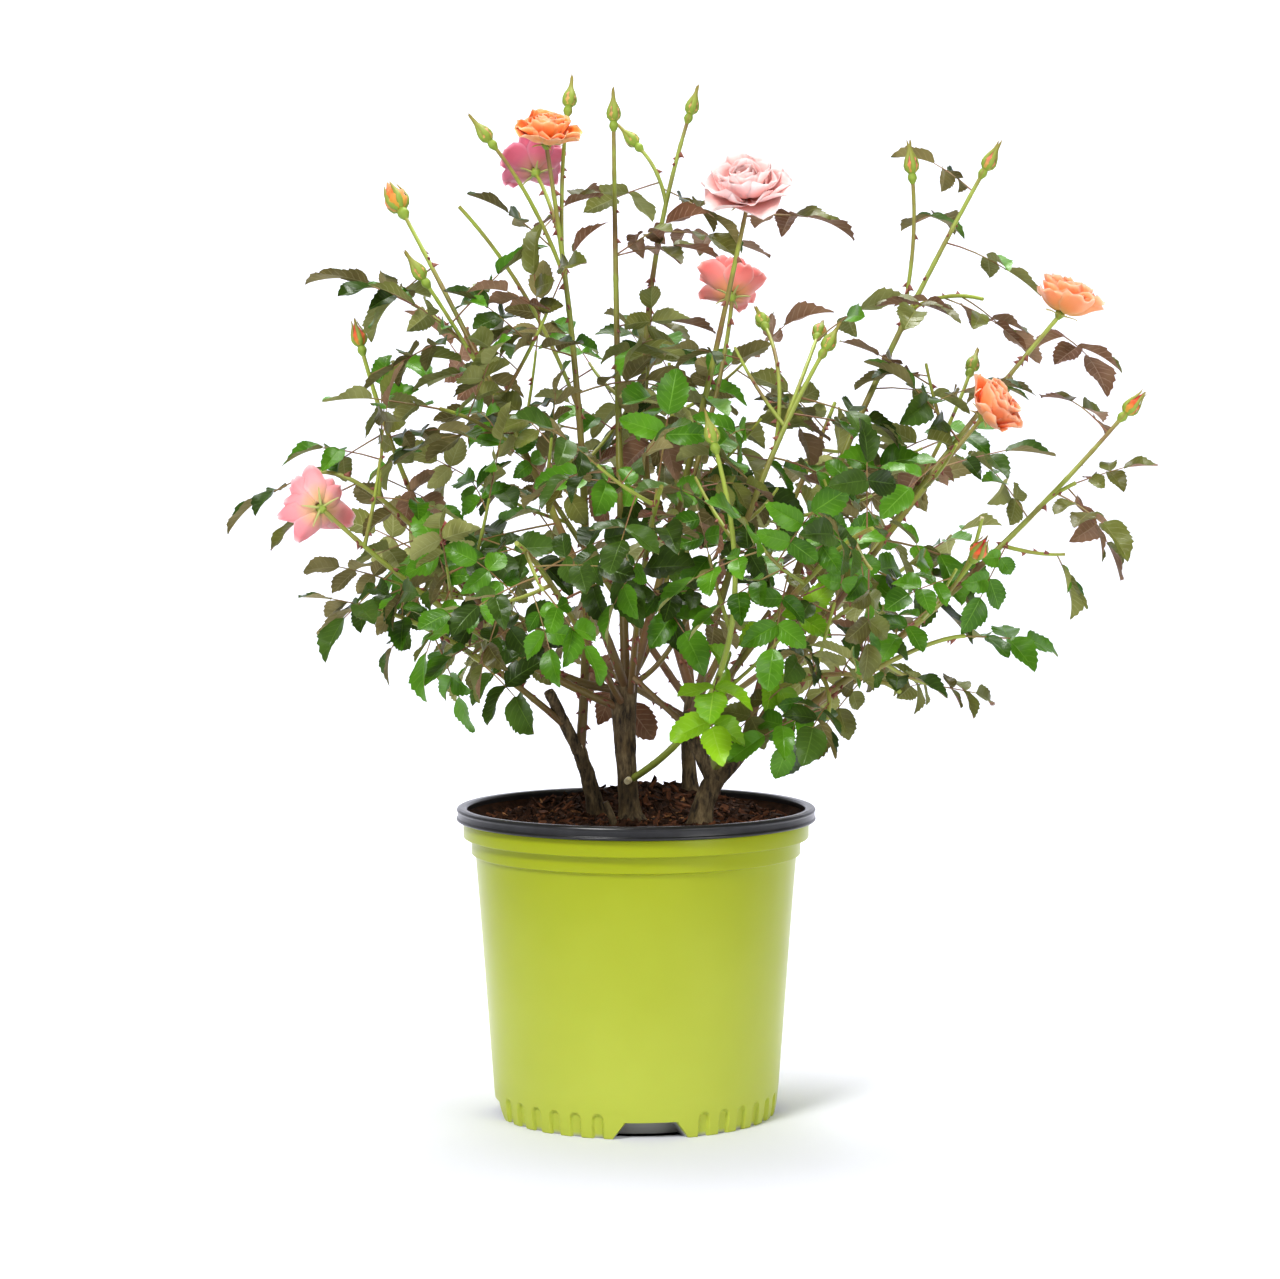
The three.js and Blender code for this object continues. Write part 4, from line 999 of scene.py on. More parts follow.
def growMass(cane, course, start):
    draw, toneDraw = dice(cane["seed"]), shuffled(cane["seed"] + growth["toneSeed"])
    name = cane["name"]
    length = course.length() * (1 - start)
    stemPaths.append((name, course, start))
    age = ageAt(cane, start)
    addLimb(stemHeap, course, taper(radiusOn(cane, start), growth["tipRadius"]), sides=10, step=3.2,
            relief=greenBark(growth["internode"], 1), ages=(age, max(age, 0.95)), start=start)
    growEnd(name, toneOf(name, toneDraw(0, 1), course.tip.z), course, cane["end"], cane["seed"])
    for n, shoot in enumerate(cane.get("shoots", ())):
        growShoot(cane, n, shootCourse(course, shoot), shoot, draw, toneDraw)
    count = round(length / growth["internode"])
    for i in range(count):
        share = (i + growth["firstLeaf"]) / count
        place = start + (1 - start) * share
        turn = cane["turn"] + i * growth["turnPerLeaf"] + draw(-growth["turnSpread"], growth["turnSpread"])
        size = growth["largest"] - growth["shrink"] * share
        size *= draw(1 - growth["sizeSpread"], 1 + growth["sizeSpread"])
        roll = draw(-growth["rollSpread"], growth["rollSpread"])
        twigLength = draw(*twig["length"])
        height = course.point(place).z
        if i % twig["every"] == 1 and share < twig["lastShare"] and height < twig["highest"]:
            growTwig(name, toneDraw, course, place, turn, twigLength, roll, size * twig["leafSize"])
            continue
        if name == freshShoot["cane"] and height < freshShoot["bareBelow"]:
            continue
        sparse = share > growth["thinFrom"] or height < growth["thinBelow"]
        if not sparse or toneDraw(0, 1) > growth["thinShare"]:
            leafOn(toneOf(name, toneDraw(0, 1), height), course, place, turn, growth["lift"], roll, size)


# Leaves at given places in the picture, each on the stem that passes at the best distance from it
def growFillers():
    stems = []
    for name, path, start in stemPaths:
        if name != freshShoot["cane"]:
            for i in range(filler["points"] + 1):
                at = path.point(start + (filler["lastShare"] - start) * i / filler["points"])
                stems.append((name, at, *seenAt(at)))
    grown = 0
    for x, z in filler["places"]:
        near = []
        for n, (_, _, stemX, stemZ) in enumerate(stems):
            reach = math.hypot(x - stemX, z - stemZ)
            if filler["reach"][0] < reach < filler["reach"][1]:
                near.append((abs(reach - filler["best"]), n, reach))
        for _, n, reach in sorted(near)[:filler["tries"]]:
            name, at, stemX, stemZ = stems[n]
            direction = Vector(((x - stemX) / reach, leafDraw(-0.35, 0.25), (z - stemZ) / reach))
            tone = toneOf(name, leafDraw(0, 1), at.z)
            if leafAt(tone, at, direction, leafDraw(-0.3, 0.3), min(reach / filler["reach"][1], 1)):
                grown += 1
                break
    print("leaves added at places in the picture:", grown)


# Trunks stand in the potting mix with a root flare, the arms and canes start inside them. Their mean
# skin lies a little inside the solid model's, so that the ridges of bark don't stand out of it
ridgeRoom = dict(trunk=0.4, arm=0.3)
for trunk in trunks:
    x, y = trunk["start"]
    course = courseThrough((x, y, soilTop(x, y) - roots["seatDepth"]), trunk["via"], trunk["tip"])

    def trunkRadius(share, trunk=trunk, length=course.length()):
        flare = (trunk["flare"] - trunk["radius"]) * math.exp(-share * length / roots["flareFade"])
        swell = (trunk["top"] - trunk["radius"]) * share ** 3
        return trunk["radius"] + flare + swell - ridgeRoom["trunk"]

    addLimb(trunkHeap, course, trunkRadius, sides=40, step=1.6, relief=oldBark, ages=(0, 0.1))
    guardLimb(course, lambda share: trunk["top"] + 1)
for arm in arms:
    course = courseThrough(arm["start"], arm["via"], arm["tip"])
    addLimb(trunkHeap, course, taper(arm["foot"] - ridgeRoom["arm"], arm["top"] - ridgeRoom["arm"]),
            sides=32, step=1.6, relief=oldBark, ages=(0.1, 0.3))
    guardLimb(course, taper(arm["foot"], arm["top"]))
print("trunks and arms:", len(trunks) + len(arms))

stemPaths, courses = [], {}
for n, cane in enumerate(canes):
    cane["seed"] = firstSeed + n
    start = cane["start"]
    if len(start) == 2:
        parent, share = start
        start = courses[parent].point(share)
    course = courses[cane["name"]] = courseThrough(start, cane["via"], cane["tip"])
    if cane["bare"] > 0:
        bare = cane["bare"]
        addLimb(boughHeap, course, taper(cane["foot"], radiusOn(cane, bare)), sides=14, step=2.6,
                relief=greenBark(growth["internode"], 1), ages=(ageAt(cane, 0), ageAt(cane, bare)),
                stop=bare)
    guardLimb(course, taper(cane["foot"], growth["tipRadius"]))
    guardEnd(cane["name"], course, cane["end"])
    for k, shoot in enumerate(cane.get("shoots", ())):
        path = shootCourse(course, shoot)
        guardLimb(path, lambda share: twig["radius"])
        guardEnd(f"{cane['name']}_{k}", path, shoot["end"])
for cane in canes:
    growMass(cane, courses[cane["name"]], cane["bare"])
growFillers()
print("canes:", len(canes))

# Bare stems with no leaves: a cut twig on the right, thin dark canes inside, a dead stub in the soil
bareStems = (  # start, middle, tip, foot and tip radius, age
    ((226, -52, 398), (248, -62, 426), (262, -60, 466), 1.5, 1.4, 0.95),
    ((41, -36, 303), (22, -30, 320), (-2, -22, 342), 2.6, 2.1, 0.05),
    ((-6, 4, 334), (22, 10, 356), (46, 14, 402), 2.4, 1.7, 0.25),
    ((-8, 6, 332), (20, 30, 392), (26, 44, 470), 2.4, 1.6, 0.3),
    ((60, -28, 262), (70, -10, 330), (104, 4, 392), 2.6, 1.6, 0.2),
)
for start, via, tip, foot, end, age in bareStems:
    addLimb(boughHeap, courseThrough(start, via, tip), taper(foot, end), sides=10, step=3,
            relief=greenBark(18, 0.8), ages=(age, age))
deadStub = courseThrough((-17, -34, 229), (-20, -35, 238), (-24, -36, 247))
addLimb(trunkHeap, deadStub, taper(2.9, 2.3), sides=14, step=1.6, relief=oldBark, ages=(0, 0.1))
print("bare stems:", len(bareStems))

# Pale wood shows where stems were cut: place, direction and radius
cutEnds = (((-7, -10, 260), (-0.5, -0.8, -0.3), 2.7), ((-46, 14.6, 285), (-0.3, -0.3, 0.9), 4.6),
           ((262, -60, 466), (0.3, 0, 0.95), 1.5))
cutHeap = Heap()
for place, direction, radius in cutEnds:
    start, run = Vector(place), Vector(direction).normalized()
    addLimb(cutHeap, courseThrough(start - run * 3, start - run, start + run * 0.8),
            taper(radius * 1.06, radius * 0.94), sides=14, step=1)


# Materials

leafVeins = dict(pairs=7, slant=0.42)


# Waxy leaf skin: deep green with paler veins that spring from the midrib and quilt the blade. Each
# leaflet's own tint keeps the crown from looking evenly painted
def leafSkin(name, blade, deep, vein, roughness, gloss, sideVeins):
    skin = Skin(name, {"Roughness": roughness, "Specular IOR Level": gloss})
    across = skin.across()
    slant = skin.maths("MULTIPLY_ADD", across, -leafVeins["slant"], skin.onMap["Y"])
    waves = skin.maths("COSINE", skin.maths("MULTIPLY", slant, leafVeins["pairs"] * 2 * math.pi))
    side = skin.maths("MULTIPLY", skin.mapped(waves, 0.8, 1, sideVeins), skin.mapped(across, 0.48, 0.3))
    veins = skin.maths("MAXIMUM", side, skin.mapped(across, 0.03, 0, 0.75))
    patches = skin.maths("MULTIPLY_ADD", skin.attribute("age"), 0.5, skin.noise(28, 3))
    base = skin.mixed(skin.mapped(patches, 0.45, 1), blade, deep)
    return skin.finish(skin.mixed(veins, base, vein), veins, 0.5, 0.4, invert=True)


# Upper and under skins by tone: the underside is matt, olive to bronze
leafSkins = dict(
    dark=(leafSkin("darkGlossyLeaf", "#486521", "#263a05", "#5e7c2e", 0.3, 0.24, 0.26),
          leafSkin("darkLeafUnderside", "#9a9060", "#6e643a", "#b0a678", 0.6, 0.14, 0.36)),
    mid=(leafSkin("midGreenLeaf", "#5f9420", "#3a6606", "#78a838", 0.3, 0.3, 0.26),
         leafSkin("midLeafUnderside", "#a6a86c", "#7e8040", "#b8ba82", 0.6, 0.14, 0.36)),
    young=(leafSkin("youngYellowGreenLeaf", "#92c222", "#6ea414", "#a8d048", 0.34, 0.3, 0.3),
           leafSkin("youngLeafUnderside", "#a8ba5c", "#94a44a", "#b6c86e", 0.6, 0.2, 0.4)),
    bronze=(leafSkin("bronzeTintedLeaf", "#707836", "#504a1c", "#88884c", 0.32, 0.28, 0.3),
            leafSkin("bronzeLeafUnderside", "#aa8a6e", "#805c44", "#c0a288", 0.6, 0.14, 0.4)),
)


# Living cane skin: age runs from brown-green old wood to fresh green tips, flushed by the sun
def caneSkin():
    skin = Skin("livingCaneSkin", {"Roughness": 0.42})
    age = skin.attribute("age")
    green = skin.ramp(age, (0.0, "#7a6242"), (0.12, "#80703f"), (0.3, "#848038"), (0.7, "#8f983e"),
                      (1.0, "#a0b048"))
    sunny = skin.mapped(skin.noise(38, 4), 0.46, 0.66, 0.75)
    flush = skin.maths("MULTIPLY", sunny, skin.mapped(age, 1.0, 1.1, 0.1, 1.0))
    return skin.finish(skin.mixed(flush, green, "#82563e"), skin.noise(1.4), 0.25, 0.3)


# Old bark: grey-brown plates with dark cracks between, dry and rough
def oldBarkSkin():
    skin = Skin("fissuredOldBark", {"Roughness": 0.9})
    stretched = skin.add("ShaderNodeMapping", {"Scale": (1, 1, 0.25), "Vector": skin.place["Object"]})
    plates = skin.noise(4.2, 6, 0.7, stretched.outputs[0])
    plate = skin.mixed(skin.mapped(skin.noise(16), 0.4, 0.65), "#8c7a5a", "#6c5a3c")
    return skin.finish(skin.mixed(skin.mapped(plates, 0.36, 0.62), "#281e14", plate), plates, 0.8, 0.8)


# Petal skin: soft and satin, deep at the foot, paling to a thin light rim, with fine veins along it. The
# light rim round each petal's sides and end is partly the petal's own paler edge and partly a painted
# highlight that sets overlapping petals apart
def petalSkin(name, foot, middle, edge, paleEdgeAndHighlight=None):
    skin = Skin(name, {"Roughness": 0.55, "Sheen Weight": 0.2, "Specular IOR Level": 0.3,
                       "Subsurface Weight": 0.5, "Subsurface Scale": 1.2 * mm,
                       "Subsurface Radius": (1, 0.85, 0.8)})
    along = skin.onMap["Y"]
    body = skin.ramp(along, (0.05, foot), (0.5, middle), (0.95, edge))
    # Paler edge and painted highlight: the sides and end of each petal turn to the rim colour
    pale = skin.maths("MAXIMUM", skin.mapped(skin.across(), 0.38, 0.5, 0.7),
                      skin.mapped(along, 0.86, 1, 0.7))
    veins = skin.add("ShaderNodeTexWave", {"Scale": 7.0, "Distortion": 1.5, "Detail": 1.0,
                                           "Vector": skin.place["UV"]})
    return skin.finish(skin.mixed(pale, body, paleEdgeAndHighlight or edge), veins.outputs["Fac"], 0.12, 0.3)


# The inner and outer skin of a bloom's petals, each from the colours of its foot, middle, edge and rim,
# the rim being partly paler edge and partly painted highlight
def petalPair(name, inside, outside):
    return (petalSkin(name + "PetalInside", *inside.split()),
            petalSkin(name + "PetalOutside", *outside.split()))


# The last colour of each is the light rim: partly paler edge, partly painted highlight
petalSkins = dict(
    orange=petalPair("orange", "#f09a10 #fb8c22 #ff9a4c #ffc083", "#f5ac38 #fda050 #ffaa70 #ffc896"),
    peach=petalPair("peach", "#f4a428 #fb9040 #ff9c66 #ffc49c", "#f6ae48 #fe9c5c #ffa678 #ffc8a4"),
    salmon=petalPair("salmon", "#f4b47c #f29498 #f8a8ac #fdd2d2", "#f2c08c #f3a0a2 #f08f96 #fdcaca"),
    coral=petalPair("coral", "#f29a60 #f08a84 #f49c96 #fbc6be", "#f4ab74 #f29088 #ec8482 #f9bab2"),
    mauve=petalPair("mauve", "#dc9c8c #d87e92 #de96a8 #edb8c4", "#dca092 #d27088 #c8647e #e4a0b0"),
    pale=petalPair("palePink", "#f8a492 #ffc6c2 #ffdad6 #fff0ee", "#fcc8b4 #ffceca #ffd6d2 #ffecea"),
)
budSkins = dict(
    opening=petalSkin("openingBudPetal", "#d0a440", "#ec8440", "#f08a52"),
    orange=petalSkin("orangeBudPetal", "#c8a23a", "#e66a3a", "#dc4c42"),
    pink=petalSkin("pinkBudPetal", "#c8a850", "#e08468", "#dd6562"),
    green=petalSkin("closedBudPetal", "#c9b45c", "#d29a68", "#d06a4c"),
)


# Sepals and hips: matt green, reddish where the sun reaches their tips
def sepalSkin():
    skin = Skin("mattSepalSkin", {"Roughness": 0.55})
    age = skin.attribute("age")
    flushed = skin.maths("MAXIMUM", skin.mapped(age, 0.6, 1, 0.65),
                         skin.mapped(skin.across(), 0.34, 0.5, 0.5))
    green = skin.mixed(skin.mapped(age, 0.1, 0.5), "#c8c482", "#8ea53c")
    return skin.finish(skin.mixed(flushed, green, "#9a6c46"), skin.noise(0.9), 0.2, 0.2)


# A skin with a fine grain and two close tints, for small or plain things
def plainSkin(name, colour, other, roughness, patch, grain, depth, extra=None):
    skin = Skin(name, {"Roughness": roughness, **(extra or {})})
    base = skin.mixed(skin.mapped(skin.noise(patch, 4), 0.38, 0.62), colour, other)
    return skin.finish(base, skin.noise(grain, 3), depth, 0.3)


# Satin polypropylene, thermoformed: saturated lime with a soft gloss. Its colour is painted darker and
# more saturated near the top, as painted shade from the crown and rim, and paler towards the foot, as
# painted light bounced from the floor. Pale grey painted inside the notches stands in for the floor and
# its shade seen through them
def potSkin(high, low, inner):
    skin = Skin("limePolypropylene", {"Roughness": 0.3, "Specular IOR Level": 0.32,
                                      "Subsurface Weight": 0.06, "Subsurface Scale": 0.004})
    place = skin.add("ShaderNodeSeparateXYZ", {0: skin.place["Object"]}).outputs
    # Painted shade and light: with height the colour runs from the paler foot colour to the darker top
    # colour
    level = skin.maths("MULTIPLY_ADD", skin.noise(70), 60 * mm, place["Z"])
    lime = skin.mixed(skin.mapped(level, 60 * mm, 240 * mm), low, high)
    flat = skin.add("ShaderNodeCombineXYZ", {0: place["X"], 1: place["Y"]})
    radius = skin.add("ShaderNodeVectorMath", {"operation": "LENGTH", 0: flat.outputs[0]})
    # Painted shade: pale grey inside the notches stands in for the floor and its shade seen through them
    inside = skin.mapped(radius.outputs["Value"], 106.8 * mm, 106 * mm)
    return skin.finish(skin.mixed(inside, lime, inner), skin.noise(0.8), 0.05, 0.3)


# Pot: thermoformed shell with two collars, drainage notches and flutes, under a rolled rim

pot = dict(footRadius=108.6, heelRadius=109.9, heelHeight=6, lowWall=(111.6, 23), wallTopRadius=125.2,
           wallTop=203, lowerCollarRadius=128.3, lowerCollarTop=216, upperCollarRadius=134.6,
           collarRise=0.5, shellTop=229.2, wall=2, floor=15, round=0.8, waviness=0.35, evenBelow=20)
notch = dict(firstTurn=6, height=12, topHalf=19, footHalf=28, depth=20, band=12, fillet=0.9, gathered=0.1)
flute = dict(perQuarter=6, firstTurn=21.8, spacing=9.4, half=4.7, bite=2.6, edge=0.3, height=19)
rim = dict(radius=140, innerRadius=131.6, bottom=229.5, top=240, bead=0.9, waviness=0.25)


# Rounds the corners of a profile of (radius, height) with short arcs
def rounded(profile, reach, steps=4):
    points = [profile[0]]
    for before, corner, after in zip(profile, profile[1:], profile[2:]):
        b, c, a = Vector(before), Vector(corner), Vector(after)
        cut = min(reach, (b - c).length * 0.45, (a - c).length * 0.45)
        first, last = c + (b - c).normalized() * cut, c + (a - c).normalized() * cut
        for i in range(steps + 1):
            t = i / steps
            points.append(tuple(first * (1 - t) ** 2 + c * (2 * t * (1 - t)) + last * t ** 2))
    return points + [profile[-1]]


# Adds rings between far apart points of a profile, so that the skin can be shaped
def refined(profile, step):
    points = [profile[0]]
    for (r0, z0), (r1, z1) in zip(profile, profile[1:]):
        parts = max(math.ceil(math.hypot(r1 - r0, z1 - z0) / step), 1)
        points += [(r0 + (r1 - r0) * i / parts, z0 + (z1 - z0) * i / parts)
                   for i in range(1, parts + 1)]
    return points


# Turned shell from a profile of (radius, height), with end caps or closed as a loop. shape gives the
# final angle and radius from angle, radius, height and row
def turned(heap, profile, sides, shape=None, loop=False):
    points, maps = [], []
    for row, (radius, height) in enumerate(profile):
        for k in range(sides):
            angle, r = 2 * math.pi * k / sides, radius
            if shape:
                angle, r = shape(angle, radius, height, row)
            points.append((r * math.cos(angle), r * math.sin(angle), height))
            maps.append((k / sides, height / 250))
    heap.add(np.array(points), ringFaces(len(profile), sides, loop), np.array(maps))
    return heap


def clamped(value):
    return max(0.0, min(1.0, value))


# Columns of the pot's skin gather at the edges of the notches, whose sides slope
def potShape(outerRows):
    quarter = math.pi / 2
    first = math.radians(notch["firstTurn"]) - quarter
    gathered = notch["gathered"]

    def shape(angle, radius, height, row):
        centre = first + round((angle - first) / quarter) * quarter
        u = (angle - centre) / quarter * 2

        # The foot of the notch is wider than its top
        lower = min(height, notch["height"]) / notch["height"]
        half = between(notch["footHalf"], notch["topHalf"], lower) / pot["footRadius"]
        if abs(u) <= gathered:
            away = abs(u) / gathered * half
        else:
            away = half + (abs(u) - gathered) / (1 - gathered) * (quarter / 2 - half)
        inward = 0.0
        fade = 1 - clamped((height - notch["height"]) / notch["fillet"])
        side = 1 - clamped((away - half) * pot["footRadius"] / notch["fillet"])
        if radius > pot["footRadius"] - notch["band"]:
            inward = notch["depth"] * fade * side
        theta = math.degrees(away) if u >= 0 else 90 - math.degrees(away)
        nearest = round((theta - flute["firstTurn"]) / flute["spacing"])
        fluted = 0 <= nearest < flute["perQuarter"] and height < flute["height"] + 4
        if fluted and row in outerRows:
            offset = abs(theta - flute["firstTurn"] - nearest * flute["spacing"])
            across = offset * math.pi / 180 * pot["heelRadius"] / flute["half"]
            above = max(0.0, (height - flute["height"] + flute["half"]) / flute["half"])
            inside = clamped((1 - math.hypot(across, above)) / flute["edge"])
            inward += flute["bite"] * inside * inside * (3 - 2 * inside)
        final = centre + math.copysign(away, u)
        wave = pot["waviness"] * noise.noise(Vector((math.cos(final) * 2.4, math.sin(final) * 2.4,
                                                     height / 90)))
        return final, radius - inward + (wave if height > pot["evenBelow"] else 0)

    return shape


def makePot():
    foot, wall, top, rise, low, high, shellTop = (pot[name] for name in (
        "footRadius", "wall", "wallTop", "collarRise", "lowerCollarRadius", "upperCollarRadius", "shellTop"))
    collar, side = pot["lowerCollarTop"], pot["lowWall"]
    heel = [(foot - notch["depth"] - notch["band"], 0), (foot, 0),
            (pot["heelRadius"], pot["heelHeight"]), side]
    collars = [side, (pot["wallTopRadius"], top), (low, top + rise), (low, collar), (high, collar + rise),
               (high, shellTop), (high - wall, shellTop)]
    outer = [(8, 0)] + refined(rounded(heel, 1.0), 1.3)
    outer += refined(rounded(collars, pot["round"]), 9)[1:]
    inner = [(high - wall, collar + rise + wall), (low - wall, collar + wall),
             (pot["wallTopRadius"] - wall, top), (foot + 1.5 - wall, 17), (foot - wall - 1.5, pot["floor"]),
             (40, pot["floor"])]
    return turned(Heap(), outer + inner, 720, potShape(set(range(len(outer)))))


def makeRim():
    radius, bottom, top, inner = rim["radius"], rim["bottom"], rim["top"], rim["innerRadius"]
    band = radius - rim["bead"]
    profile = [(inner, bottom), (band, bottom), (radius, bottom + 0.7), (radius, bottom + 2),
               (band, bottom + 2.7), (band, top - 3.6), (radius, top - 2.4), (radius - 0.8, top - 0.8),
               (radius - 3, top), (inner + 1.6, top - 0.3), (inner, top - 1.8), (inner, bottom)]

    def shape(angle, radius, height, row):
        place = Vector((math.cos(angle) * 2, math.sin(angle) * 2, 5))
        return angle, radius + rim["waviness"] * noise.noise(place)

    return turned(Heap(), rounded(profile, 0.6)[:-1], 256, shape, loop=True)


# The mix fills the pot. Its top rises from the edge to the mound, with lumps and crumbs
soilRelief = dict(gap=0.9, edgeRadius=131.4, edgeLift=5.4, edgeWidth=6, lump=3.0, lumpSize=17, crumb=1.1,
                  crumbSize=4.5, rings=70, sides=220)


def makeSoil():
    p, relief, wall = pot, soilRelief, pot["wall"] + soilRelief["gap"]
    floor, radius = p["floor"] + relief["gap"], relief["edgeRadius"]
    profile = [(10, floor), (p["footRadius"] - wall - 2, floor), (p["footRadius"] - wall, 19),
               (p["wallTopRadius"] - wall, p["wallTop"]),
               (p["lowerCollarRadius"] - wall, p["lowerCollarTop"] + 4), (radius, p["lowerCollarTop"] + 6)]
    marker = -1
    top = [(radius * i / relief["rings"], marker) for i in range(relief["rings"], 0, -1)]
    heap = turned(Heap(), profile + top, relief["sides"])
    for point in heap.points[0]:
        if point[2] == marker:
            x, y = point[0], point[1]
            inside = min((radius - math.hypot(x, y)) / relief["edgeWidth"], 1)
            lump = noise.fractal(Vector((x, y, 3)) / relief["lumpSize"], 1.0, 2.0, 3)
            crumb = noise.noise(Vector((x, y, 7)) / relief["crumbSize"])
            lift = relief["edgeLift"] - inside * (1 + relief["edgeLift"])
            point[2] = soilTop(x, y) + lift + inside * (lump * relief["lump"] + crumb * relief["crumb"])
    return heap


# Geometry Nodes scatter: copies of the shapes in a collection, spread over a skin and stood on it.
# Along a limb they face the way that it runs, elsewhere they turn freely

scatterInputs = dict(density="Float", seed="Int", smallest="Float", largest="Float", tilt="Float",
                     youngest="Float", shapes="Collection", finish="Material")
smallTurn = 0.2


def scatterTree(name, facing):
    tree = bpy.data.node_groups.new(name, "GeometryNodeTree")
    tree.interface.new_socket("Geometry", in_out="OUTPUT", socket_type="NodeSocketGeometry")
    tree.interface.new_socket("Geometry", in_out="INPUT", socket_type="NodeSocketGeometry")
    inputs = {}
    for label, kind in scatterInputs.items():
        made = tree.interface.new_socket(label, in_out="INPUT", socket_type=f"NodeSocket{kind}")
        inputs[label] = made.identifier

    def add(kind, settings=None):
        return addNode(tree, kind, settings).outputs

    given = add("NodeGroupInput")
    age = add("GeometryNodeInputNamedAttribute", {"data_type": "FLOAT", "Name": "age"})
    chosen = add("FunctionNodeCompare", {"data_type": "FLOAT", "operation": "LESS_EQUAL",
                                         0: age["Attribute"], 1: given["youngest"]})
    spread = add("GeometryNodeDistributePointsOnFaces", {
        "distribute_method": "RANDOM", "Mesh": given["Geometry"], "Selection": chosen[0],
        "Density": given["density"], "Seed": given["seed"]})
    if facing == "runs":
        runs = add("GeometryNodeInputNamedAttribute", {"data_type": "FLOAT_VECTOR", "Name": "runs"})
        stand = add("FunctionNodeAxesToRotation", {
            "primary_axis": "Z", "secondary_axis": "X", "Primary Axis": spread["Normal"],
            "Secondary Axis": runs["Attribute"]})
    else:
        stand = add("FunctionNodeAlignRotationToVector", {"axis": "Z", "Vector": spread["Normal"]})
    turn = smallTurn if facing == "runs" else math.pi
    back = add("ShaderNodeMath", {"operation": "MULTIPLY", 0: given["tilt"], 1: -1.0})[0]
    least = add("ShaderNodeCombineXYZ", {"X": back, "Y": back, "Z": -turn})
    most = add("ShaderNodeCombineXYZ", {"X": given["tilt"], "Y": given["tilt"], "Z": turn})
    spin = add("FunctionNodeRandomValue", {"data_type": "FLOAT_VECTOR", 0: least[0], 1: most[0],
                                           "Seed": given["seed"]})
    spun = add("FunctionNodeEulerToRotation", {0: spin[0]})
    stood = add("FunctionNodeRotateRotation", {"rotation_space": "LOCAL", "Rotation": stand[0],
                                               "Rotate By": spun[0]})
    size = add("FunctionNodeRandomValue", {"data_type": "FLOAT", 2: given["smallest"],
                                           3: given["largest"], "Seed": given["seed"]})
    shapes = add("GeometryNodeCollectionInfo", {"Separate Children": True, "Reset Children": True,
                                                "Collection": given["shapes"]})
    copies = add("GeometryNodeInstanceOnPoints", {
        "Pick Instance": True, "Points": spread["Points"], "Instance": shapes[0],
        "Rotation": stood[0], "Scale": size[1]})
    solid = add("GeometryNodeRealizeInstances", {0: copies[0]})
    painted = add("GeometryNodeSetMaterial", {"Geometry": solid[0], "Material": given["finish"]})
    add("NodeGroupOutput", {0: painted[0]})
    return tree, inputs


# Runs a scatter on a copy of a piece and keeps what it made as a piece of its own
def scattered(name, host, facing, slotName, **values):
    tree, inputs = scatterTree(name + "Scatter", facing)
    ground = addObject(name + "Ground", host.data)
    modifier = ground.modifiers.new("Scatter", "NODES")
    modifier.node_group = tree
    for label, value in values.items():
        modifier[inputs[label]] = value
    evaluated = ground.evaluated_get(bpy.context.evaluated_depsgraph_get())
    mesh = bpy.data.meshes.new_from_object(evaluated)
    mesh.name = name
    ground.modifiers.remove(modifier)
    bpy.data.objects.remove(ground)
    print(name, "faces:", len(mesh.polygons))
    return addPiece(name, mesh)


# A piece's skin above a height and within a reach of the axis, as a bare mesh to scatter on
def topSkin(piece, height, reach):
    mesh = piece.data
    points = np.empty(len(mesh.vertices) * 3)
    mesh.vertices.foreach_get("co", points)
    high = (points[2::3] > height) & (np.hypot(points[0::3], points[1::3]) < reach)
    faces = [tuple(face.vertices) for face in mesh.polygons if all(high[i] for i in face.vertices)]
    skin = bpy.data.meshes.new("topSkin")
    skin.from_pydata(points.reshape(-1, 3).tolist(), [], faces)
    return bpy.data.objects.new("topSkin", skin)


# Shapes to scatter are kept out of the scene, in a collection of their own
def shapeSet(name, smooth, shapes):
    group = bpy.data.collections.new(name)
    for i, (points, faces) in enumerate(shapes):
        mesh = bpy.data.meshes.new(f"{name}{i}")
        mesh.from_pydata([tuple(v * mm for v in point) for point in points], [], faces)
        mesh.polygons.foreach_set("use_smooth", [smooth] * len(faces))
        group.objects.link(bpy.data.objects.new(f"{name}{i}", mesh))
    return group


# A prickle: broad oval foot, slimmer than long, drawn up to a point that hooks down the cane
prickleForm = dict(sides=8, rows=5, slimness=4.6, hook=0.55, sunk=0.3)


def prickleShape(length, height):
    sides, rows, hook, sunk = (prickleForm[name] for name in ("sides", "rows", "hook", "sunk"))
    points = []
    for i in range(rows):
        share = i / rows
        for k in range(sides):
            angle = 2 * math.pi * k / sides
            x = math.cos(angle) * length / 2 * (1 - share) ** 1.3 - hook * height * share ** 2
            y = math.sin(angle) * length / prickleForm["slimness"] * (1 - share) ** 1.1
            points.append((x, y, height * share - sunk))
    points.append((-0.6 * height, 0, height - sunk))
    top = (rows - 1) * sides
    point = [(top + k, top + (k + 1) % sides, rows * sides) for k in range(sides)]
    return points, ringFaces(rows, sides)[:-1] + point


# A splinter or chip of bark: a bent, rough-edged slab
def chipShape(draw, length, width, height):
    outline = ((-0.5, -0.3), (-0.1, -0.5), (0.5, -0.35), (0.45, 0.4), (0, 0.5), (-0.55, 0.25))
    points = []
    for z in (-0.5, 0.5):
        for x, y in outline:
            lift = draw(-0.35, 0.35) * height
            points.append((x * length * draw(0.8, 1.2), y * width * draw(0.7, 1.2),
                           z * height + lift + x * x * height))
    return points, ringFaces(2, len(outline))


# Making the pieces

